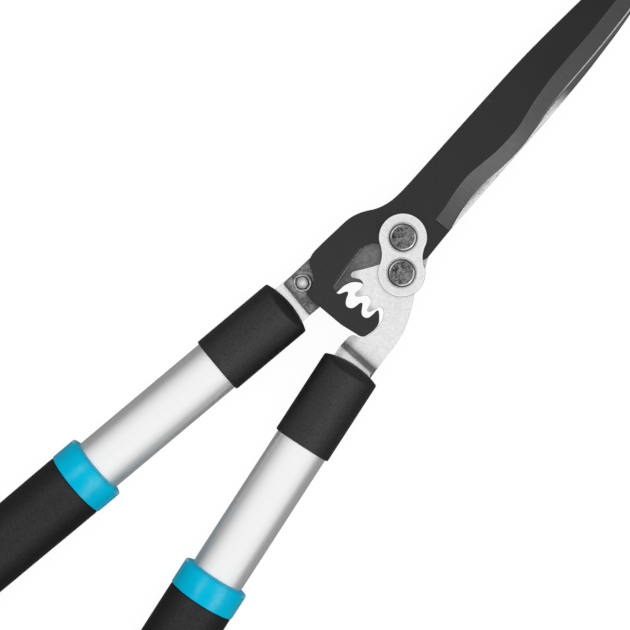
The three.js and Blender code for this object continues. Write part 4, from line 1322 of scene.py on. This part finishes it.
# radius, height above the shear plane
OUTER_HEAD = [(2.5, 0), (4.5, 0), (4.72, 0.2), (4.70, 0.6), (4.58, 0.80), (4.35, 0.86),
              (3.95, 0.84), (3.75, 0.74), (3.5, 0.78), (3.3, 1.15), (3.1, 1.55), (2.8, 1.80),
              (1.5, 1.96), (0, 2.0)]
INNER_HEAD = [(2.5, -1.9), (4.15, -0.3), (4.15, -0.15), (0, -0.15)]


def rivet(place, centre, head, segments, sharp, material):
    name = "tang_rivet_" + place
    profile = RIVET_TAIL + [(radius, SHEAR_Z + z) for radius, z in head]
    obj = turned(name + "_steel", fillet(profile, 0.1, 2), centre, segments, sharp)
    finish(obj, "fixed_half", name, "bright_steel", material)


# ------------------------------------------------------------------ handles
# half widths and half heights of the ovals, and places along the handle
SEGMENTS = 144
OVAL_POWER, SLEEVE_POWER = 2.3, 2.4
SLEEVE_W, SLEEVE_H, SLEEVE_END = 15.6, 11.8, 49.2
SLOT_H = 2.4                            # half height of the slot for the strip
TUBE_W, TUBE_H, TUBE_WALL = 14.25, 10.2, 1.4
TUBE_START, TUBE_END = 9.4, 270
BORE_W, BORE_H = TUBE_W + 0.15, TUBE_H + 0.15
COLLAR_W, COLLAR_H, COLLAR_START, COLLAR_END = 18.05, 14.1, 128.4, 144.0
CORE_W, CORE_H = 15.85, 11.85
COVER_BORE_W, COVER_BORE_H = 16.0, 12.0
GRIP_END = 281
BOW = 1.0                               # how far the collar's ends curve back at the sides
PHI = np.linspace(0, 2 * math.pi, SEGMENTS, endpoint=False)


def oval(width, height, power=OVAL_POWER):
    cosine, sine = np.cos(PHI), np.sin(PHI)
    e = 2.0 / power
    return (width * np.sign(cosine) * np.abs(cosine) ** e,
            height * np.sign(sine) * np.abs(sine) ** e)


def ring(along, width, height, power=OVAL_POWER):
    return np.stack([np.full(SEGMENTS, float(along)), *oval(width, height, power)], -1)


def bowed(along, width, height, amount):
    """A ring that curves back towards the blades at its sides."""
    points = ring(along, width, height)
    points[:, 0] -= amount * BOW * np.abs(points[:, 1] / COLLAR_W) ** 2.2
    return points


def skin(name, rings, handle, start=None, end=None, closed=False, sharp=32.0):
    """Skin over rings in handle space. It ends in poles on the axis at start and end, or
    closes on itself."""
    verts = handle.place(np.array(rings)).reshape(-1, 3).tolist()
    count = len(rings)
    steps = [(k, (k + 1) % SEGMENTS) for k in range(SEGMENTS)]
    faces = []
    for i in range(count if closed else count - 1):
        low, high = i * SEGMENTS, (i + 1) % count * SEGMENTS
        faces += [(low + k, low + nxt, high + nxt, high + k) for k, nxt in steps]
    if not closed:
        first, last = len(verts), (count - 1) * SEGMENTS
        for along in (start, end):
            verts.append(handle.place(np.array((along, 0, 0), float)).tolist())
        faces += [(first, nxt, k) for k, nxt in steps]
        faces += [(first + 1, last + k, last + nxt) for k, nxt in steps]
    return weighted(face_out(mesh_object(name, verts, faces, sharp)))


def no_slivers(mesh):
    """Splits many-sided faces and drops any that lie back to back."""
    work = bmesh.new()
    work.from_mesh(mesh)
    bmesh.ops.remove_doubles(work, verts=list(work.verts), dist=1e-7)
    bmesh.ops.triangulate(work, faces=[f for f in work.faces if len(f.verts) > 4],
                          ngon_method="EAR_CLIP")
    work.verts.index_update()
    seen = {}
    for face in work.faces:
        seen.setdefault(tuple(sorted(vert.index for vert in face.verts)), []).append(face)
    dead = [face for group in seen.values() if len(group) > 1 for face in group]
    if dead:
        bmesh.ops.delete(work, geom=dead, context="FACES_ONLY")
    work.to_mesh(mesh)
    work.free()


def cut_slot(sleeve, handle):
    """Cuts the slot by which the steel strip enters the sleeve."""
    half = STRIP_W + 0.35
    corners = [(along, across, height) for along in (-4, 14) for across, height in
               ((-half, -SLOT_H), (half, -SLOT_H), (half, SLOT_H), (-half, SLOT_H))]
    cutter = face_out(mesh_object("cutter", handle.place(np.array(corners)), [
        (0, 3, 2, 1), (4, 5, 6, 7), (0, 1, 5, 4), (1, 2, 6, 5), (2, 3, 7, 6), (3, 0, 4, 7)]))
    sleeve.modifiers.clear()
    slot = sleeve.modifiers.new("slot", "BOOLEAN")
    slot.operation = "DIFFERENCE"
    slot.object = cutter
    slot.solver = "EXACT"
    bpy.context.view_layer.update()
    graph = bpy.context.evaluated_depsgraph_get()
    mesh = bpy.data.meshes.new_from_object(sleeve.evaluated_get(graph))
    sleeve.modifiers.clear()
    no_slivers(mesh)
    sleeve.data = mesh
    bpy.data.objects.remove(cutter)
    shade_smooth(mesh, 40)
    weighted(sleeve)


def dome(across, height):
    """The sleeve's nose: flat across the height of the slot, then falling back."""
    beyond = np.maximum(np.abs(height) - SLOT_H, 0.0)
    return 0.3 + across ** 2 / 94 + 7.5e-6 * across ** 4 + beyond ** 2 / (2 * 7.5)


def make_sleeve(handle):
    """Oval wall closed by a dome that meets it along a soft crease."""
    across, height = oval(SLEEVE_W, SLEEVE_H, SLEEVE_POWER)

    def dome_ring(scale):
        a, h = scale * across, scale * height
        return np.stack([dome(a, h), a, h], -1)

    rings = [dome_ring(scale) for scale in
             (0.06, 0.15, 0.26, 0.38, 0.5, 0.61, 0.71, 0.80, 0.87, 0.925, 0.96)]
    edge = dome(across, height)
    before, corner = dome_ring(0.96), np.stack([edge, across, height], -1)
    after = np.stack([edge + 1.1, across, height], -1)
    for t in (0.2, 0.45, 0.72, 1.0):  # the crease, rounded over about a millimetre
        rings.append((1 - t) ** 2 * before + 2 * t * (1 - t) * corner + t ** 2 * after)
    for t in (0.12, 0.25, 0.4, 0.55, 0.7, 0.85, 1.0):
        along = (edge + 1.1) * (1 - t) + (SLEEVE_END - 1.4) * t
        rings.append(np.stack([along, across, height], -1))
    # the rounded open end, then the bore
    for back, inset in ((1.0, 0.0), (0.6, 0.04), (0.3, 0.16), (0.1, 0.36), (0.0, 0.62)):
        rings.append(ring(SLEEVE_END - back, SLEEVE_W - inset, SLEEVE_H - inset, SLEEVE_POWER))
    rings.append(ring(SLEEVE_END, BORE_W + 0.12, BORE_H + 0.12))
    rings += [ring(along, BORE_W, BORE_H) for along in (SLEEVE_END - 0.35, 40, 25, 12, 9.0)]
    sleeve = skin(handle.side + "_sleeve_shell", rings, handle, start=0.3, end=9.0, sharp=40)
    cut_slot(sleeve, handle)
    finish(sleeve, handle.body, handle.side + "_sleeve", "sleeve_plastic",
           "sleeve_black_" + handle.side, "sleeve_black_nose")

    def slot_at(x, y, z):
        along, across = handle.local(x, y)
        return 1 if along < dome(across, z - AXIS_Z) + 0.12 else 0

    assign_slots(sleeve, slot_at)


def make_tube(handle):
    inner_w, inner_h = TUBE_W - TUBE_WALL, TUBE_H - TUBE_WALL
    outside = [(along, TUBE_W, TUBE_H) for along in (TUBE_START, 60, 120, 200, TUBE_END)]
    bore = [(along, inner_w, inner_h) for along in (TUBE_END, 140, TUBE_START)]
    seam = [(TUBE_START, inner_w + 0.7, inner_h + 0.7)]
    stations = fillet(seam + outside + bore + seam, 0.25, least=0.03, nearly_straight=-0.985)
    tube = skin(handle.side + "_tube_shell", [ring(*row) for row in stations[:-1]], handle,
                closed=True)
    finish(tube, handle.body, handle.side + "_tube", "tube_aluminium",
           "satin_aluminium_" + handle.side)


def make_grip_core(handle):
    """Core of the grip with the collar at its blade end."""
    face = COLLAR_START + 0.35
    # along from the face, width and height over the bore, bow 1
    rising = [(0.35, 0, 0), (0.1, 0.06, 0.06), (0, 0.25, 0.25), (0.02, 0.6, 0.6),
              (0.2, 1.3, 1.3), (0.6, 2.2, 2.25), (0.92, 2.9, 3.0)]
    # along, how far inside the collar's full size
    collar = [(face + 1.15, 0.42), (face + 1.36, 0.18), (face + 1.62, 0.05), (face + 2.1, 0),
              (face + 6, -0.03), (COLLAR_END - 3, -0.03), (COLLAR_END - 0.6, 0),
              (COLLAR_END - 0.25, 0.06), (COLLAR_END - 0.05, 0.2), (COLLAR_END, 0.45)]
    # along, bow
    core = [(COLLAR_END, 1), (COLLAR_END + 2, 0.6), (160, 0), (GRIP_END, 0)]
    bore = [(GRIP_END, 0), (200, 0), (135, 0.5)]
    rings = [bowed(face + a, BORE_W + w, BORE_H + h, 1) for a, w, h in rising]
    rings += [bowed(a, COLLAR_W - inset, COLLAR_H - inset, 1) for a, inset in collar]
    rings += [bowed(a, CORE_W, CORE_H, bow) for a, bow in core]
    rings += [bowed(a, BORE_W, BORE_H, bow) for a, bow in bore]
    obj = skin(handle.side + "_grip_core_shell", rings, handle, closed=True, sharp=50)
    finish(obj, handle.body, handle.side + "_grip_core", "collar_plastic",
           "collar_blue_" + handle.side)


# along, half width, half height of the soft cover's outside
COVER = np.array([
    (146.0, 17.72, 13.78), (156, 17.7, 13.8), (165, 17.65, 13.8), (185, 17.5, 13.75),
    (200, 17.45, 13.7), (222, 17.3, 13.6), (244, 17.2, 13.5), (258, 17.5, 13.75),
    (268, 18.25, 14.4), (276, 19.1, 15.1), (280.0, 19.25, 15.2)])


def cover_stations(step=1.5):
    """Even stations along smooth curves through COVER, with its last row added."""
    widths, heights = spline(COVER[:, [0, 1]], step), spline(COVER[:, [0, 2]], step)
    stations = [(along, float(np.interp(along, widths[:, 0], widths[:, 1])),
                 float(np.interp(along, heights[:, 0], heights[:, 1])))
                for along in np.arange(COVER[0, 0], COVER[-1, 0] + 1e-6, step)]
    return stations + [tuple(COVER[-1])]


def make_grip_cover(handle):
    start = COLLAR_END + 0.22
    # along, half width, half height, bow
    stations = [(start, COVER_BORE_W, COVER_BORE_H, 1), (start, 17.0, 13.05, 1),
                (start + 0.1, 17.35, 13.4, 1), (start + 0.35, 17.58, 13.62, 1),
                (start + 0.8, 17.68, 13.73, 1)]
    stations += [(*row, max(0.0, 1 - (row[0] - 145) / 25)) for row in cover_stations()]
    stations += [(280.7, 19.1, 15.05, 0), (281.0, 18.8, 14.75, 0)]
    stations += [(along, COVER_BORE_W, COVER_BORE_H, 0) for along in (GRIP_END, 210, 160)]
    obj = skin(handle.side + "_grip_cover_soft", [bowed(*row) for row in stations], handle,
               closed=True, sharp=45)
    finish(obj, handle.body, handle.side + "_grip_cover", "grip_rubber",
           "grip_rubber_" + handle.side)


# along, half width, half height
END_CAP = [(271, 12.5, 8.5), (272, 13.8, 9.8), (281.2, 13.8, 9.8), (281.2, 18.6, 14.6),
           (281.5, 18.95, 14.95), (282.6, 18.9, 14.9), (283.8, 18.3, 14.3),
           (284.6, 17.3, 13.3), (285.0, 15.8, 11.8), (285.0, 12, 8.2), (284.5, 11.5, 7.7),
           (284.5, 4, 3)]


def make_end_cap(handle):
    obj = skin(handle.side + "_end_cap_shell", [ring(*row) for row in END_CAP], handle,
               start=END_CAP[0][0], end=END_CAP[-1][0], sharp=40)
    finish(obj, handle.body, handle.side + "_end_cap", "cap_plastic", "cap_black")


def finish_inner_pieces():
    """Inner pieces keep their CAD shape and get a finish of their own."""
    for piece, material in (("insert", "insert_grey"), ("cross_pin", "bright_steel")):
        for handle in (LEFT, RIGHT):
            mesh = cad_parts[handle.side + "_" + piece].data
            mesh.materials.clear()
            mesh.materials.append(MATERIALS[material])


# ------------------------------------------------------------------ stage, light, camera
def camera_ray(tree):
    return field(tree, "LightPath", output="Is Camera Ray")


def make_floor():
    """Nearly white to the camera, mid grey to everything else."""
    bpy.ops.mesh.primitive_plane_add(size=12, location=(0, 0, cad_low.z - 0.0008))
    floor = bpy.context.object
    floor.name = "floor"
    material = bpy.data.materials.new("pale_floor")
    tree = empty_tree(material)
    unseen = field(tree, "BsdfDiffuse", {"Color": 0.38})
    glow = field(tree, "Emission", {"Color": 1, "Strength": 0.93})
    shadow = field(tree, "BsdfDiffuse", {"Color": 0.13})
    seen = field(tree, "AddShader", {0: glow, 1: shadow})
    shader = field(tree, "MixShader", {0: camera_ray(tree), 1: unseen, 2: seen})
    add_node(tree, "OutputMaterial", {0: shader})
    floor.data.materials.append(material)


def make_world():
    """White to the camera; as light, a sky that brightens towards the zenith."""
    world = bpy.data.worlds.new("studio")
    scene.world = world
    tree = empty_tree(world)
    height = field(tree, "TexCoord", output="Generated").xyz()[2]
    sky = height.ramp((0.0, 0.15), (0.20, 0.20), (0.45, 0.37), (0.70, 0.68), (0.88, 0.95),
                      (1.0, 1.0))
    light = field(tree, "Background", {"Color": sky, "Strength": 1.07})
    backdrop = field(tree, "Background", {"Color": 1, "Strength": 1.0})
    shader = field(tree, "MixShader", {0: camera_ray(tree), 1: light, 2: backdrop})
    add_node(tree, "OutputWorld", {0: shader})


def area_light(name, location, size, power, target=(-0.03, 0, 0)):
    """Square light; places and size in metres, power in watts."""
    light = bpy.data.lights.new(name, "AREA")
    light.shape = "SQUARE"
    light.size = size
    light.energy = power
    obj = bpy.data.objects.new(name, light)
    scene.collection.objects.link(obj)
    obj.location = location
    obj.rotation_mode = "QUATERNION"
    aim = Vector(target) - Vector(location)
    obj.rotation_quaternion = aim.to_track_quat("-Z", "Y")


def make_camera():
    """Looks straight down on the middle of the view."""
    position, target = (-58.62, 7.34, 1294.4), (-58.62, 7.34, -5.6)
    roll, view_width = -48.5, 318.15    # view width in mm, at the target
    sensor = 36.0
    data = bpy.data.cameras.new("camera")
    camera = bpy.data.objects.new("camera", data)
    scene.collection.objects.link(camera)
    scene.camera = camera
    look = Vector(target) - Vector(position)
    data.sensor_width = sensor
    data.lens = sensor * look.length / view_width
    data.clip_start = 0.01
    data.clip_end = 20
    camera.location = Vector(position) * MM
    up = Vector((math.sin(rad(-roll)), math.cos(rad(-roll)), 0))
    back = -look.normalized()
    right = up.cross(back).normalized()
    axes = Matrix((right, back.cross(right), back)).transposed()
    camera.rotation_mode = "QUATERNION"
    camera.rotation_quaternion = axes.to_quaternion()


# ------------------------------------------------------------------ build
make_materials()
front_blade()
rear_blade()
link_plate()
gear_lever()
left_tang()
for pivot, centre in (("blade_pivot", BLADE_PIVOT), ("gear_pivot", tuple(GEAR_PIVOT))):
    pivot_bolt(pivot, centre)
    pivot_washer(pivot, centre)
    pivot_nut(pivot, centre)
rivet("outer", OUTER_RIVET, OUTER_HEAD, segments=96, sharp=60, material="rivet_steel")
rivet("inner", INNER_RIVET, INNER_HEAD, segments=64, sharp=50, material="bright_steel")
for handle in (LEFT, RIGHT):
    make_sleeve(handle)
    make_tube(handle)
    make_grip_core(handle)
    make_grip_cover(handle)
    make_end_cap(handle)
finish_inner_pieces()

make_floor()
make_world()
area_light("side_left", location=(-0.25, 1.30, 1.10), size=0.15, power=0.22)
area_light("side_right", location=(-0.08, -1.35, 1.10), size=0.18, power=0.40)
make_camera()
scene.view_settings.view_transform = "Standard"
scene.view_settings.look = "None"

bpy.context.view_layer.update()
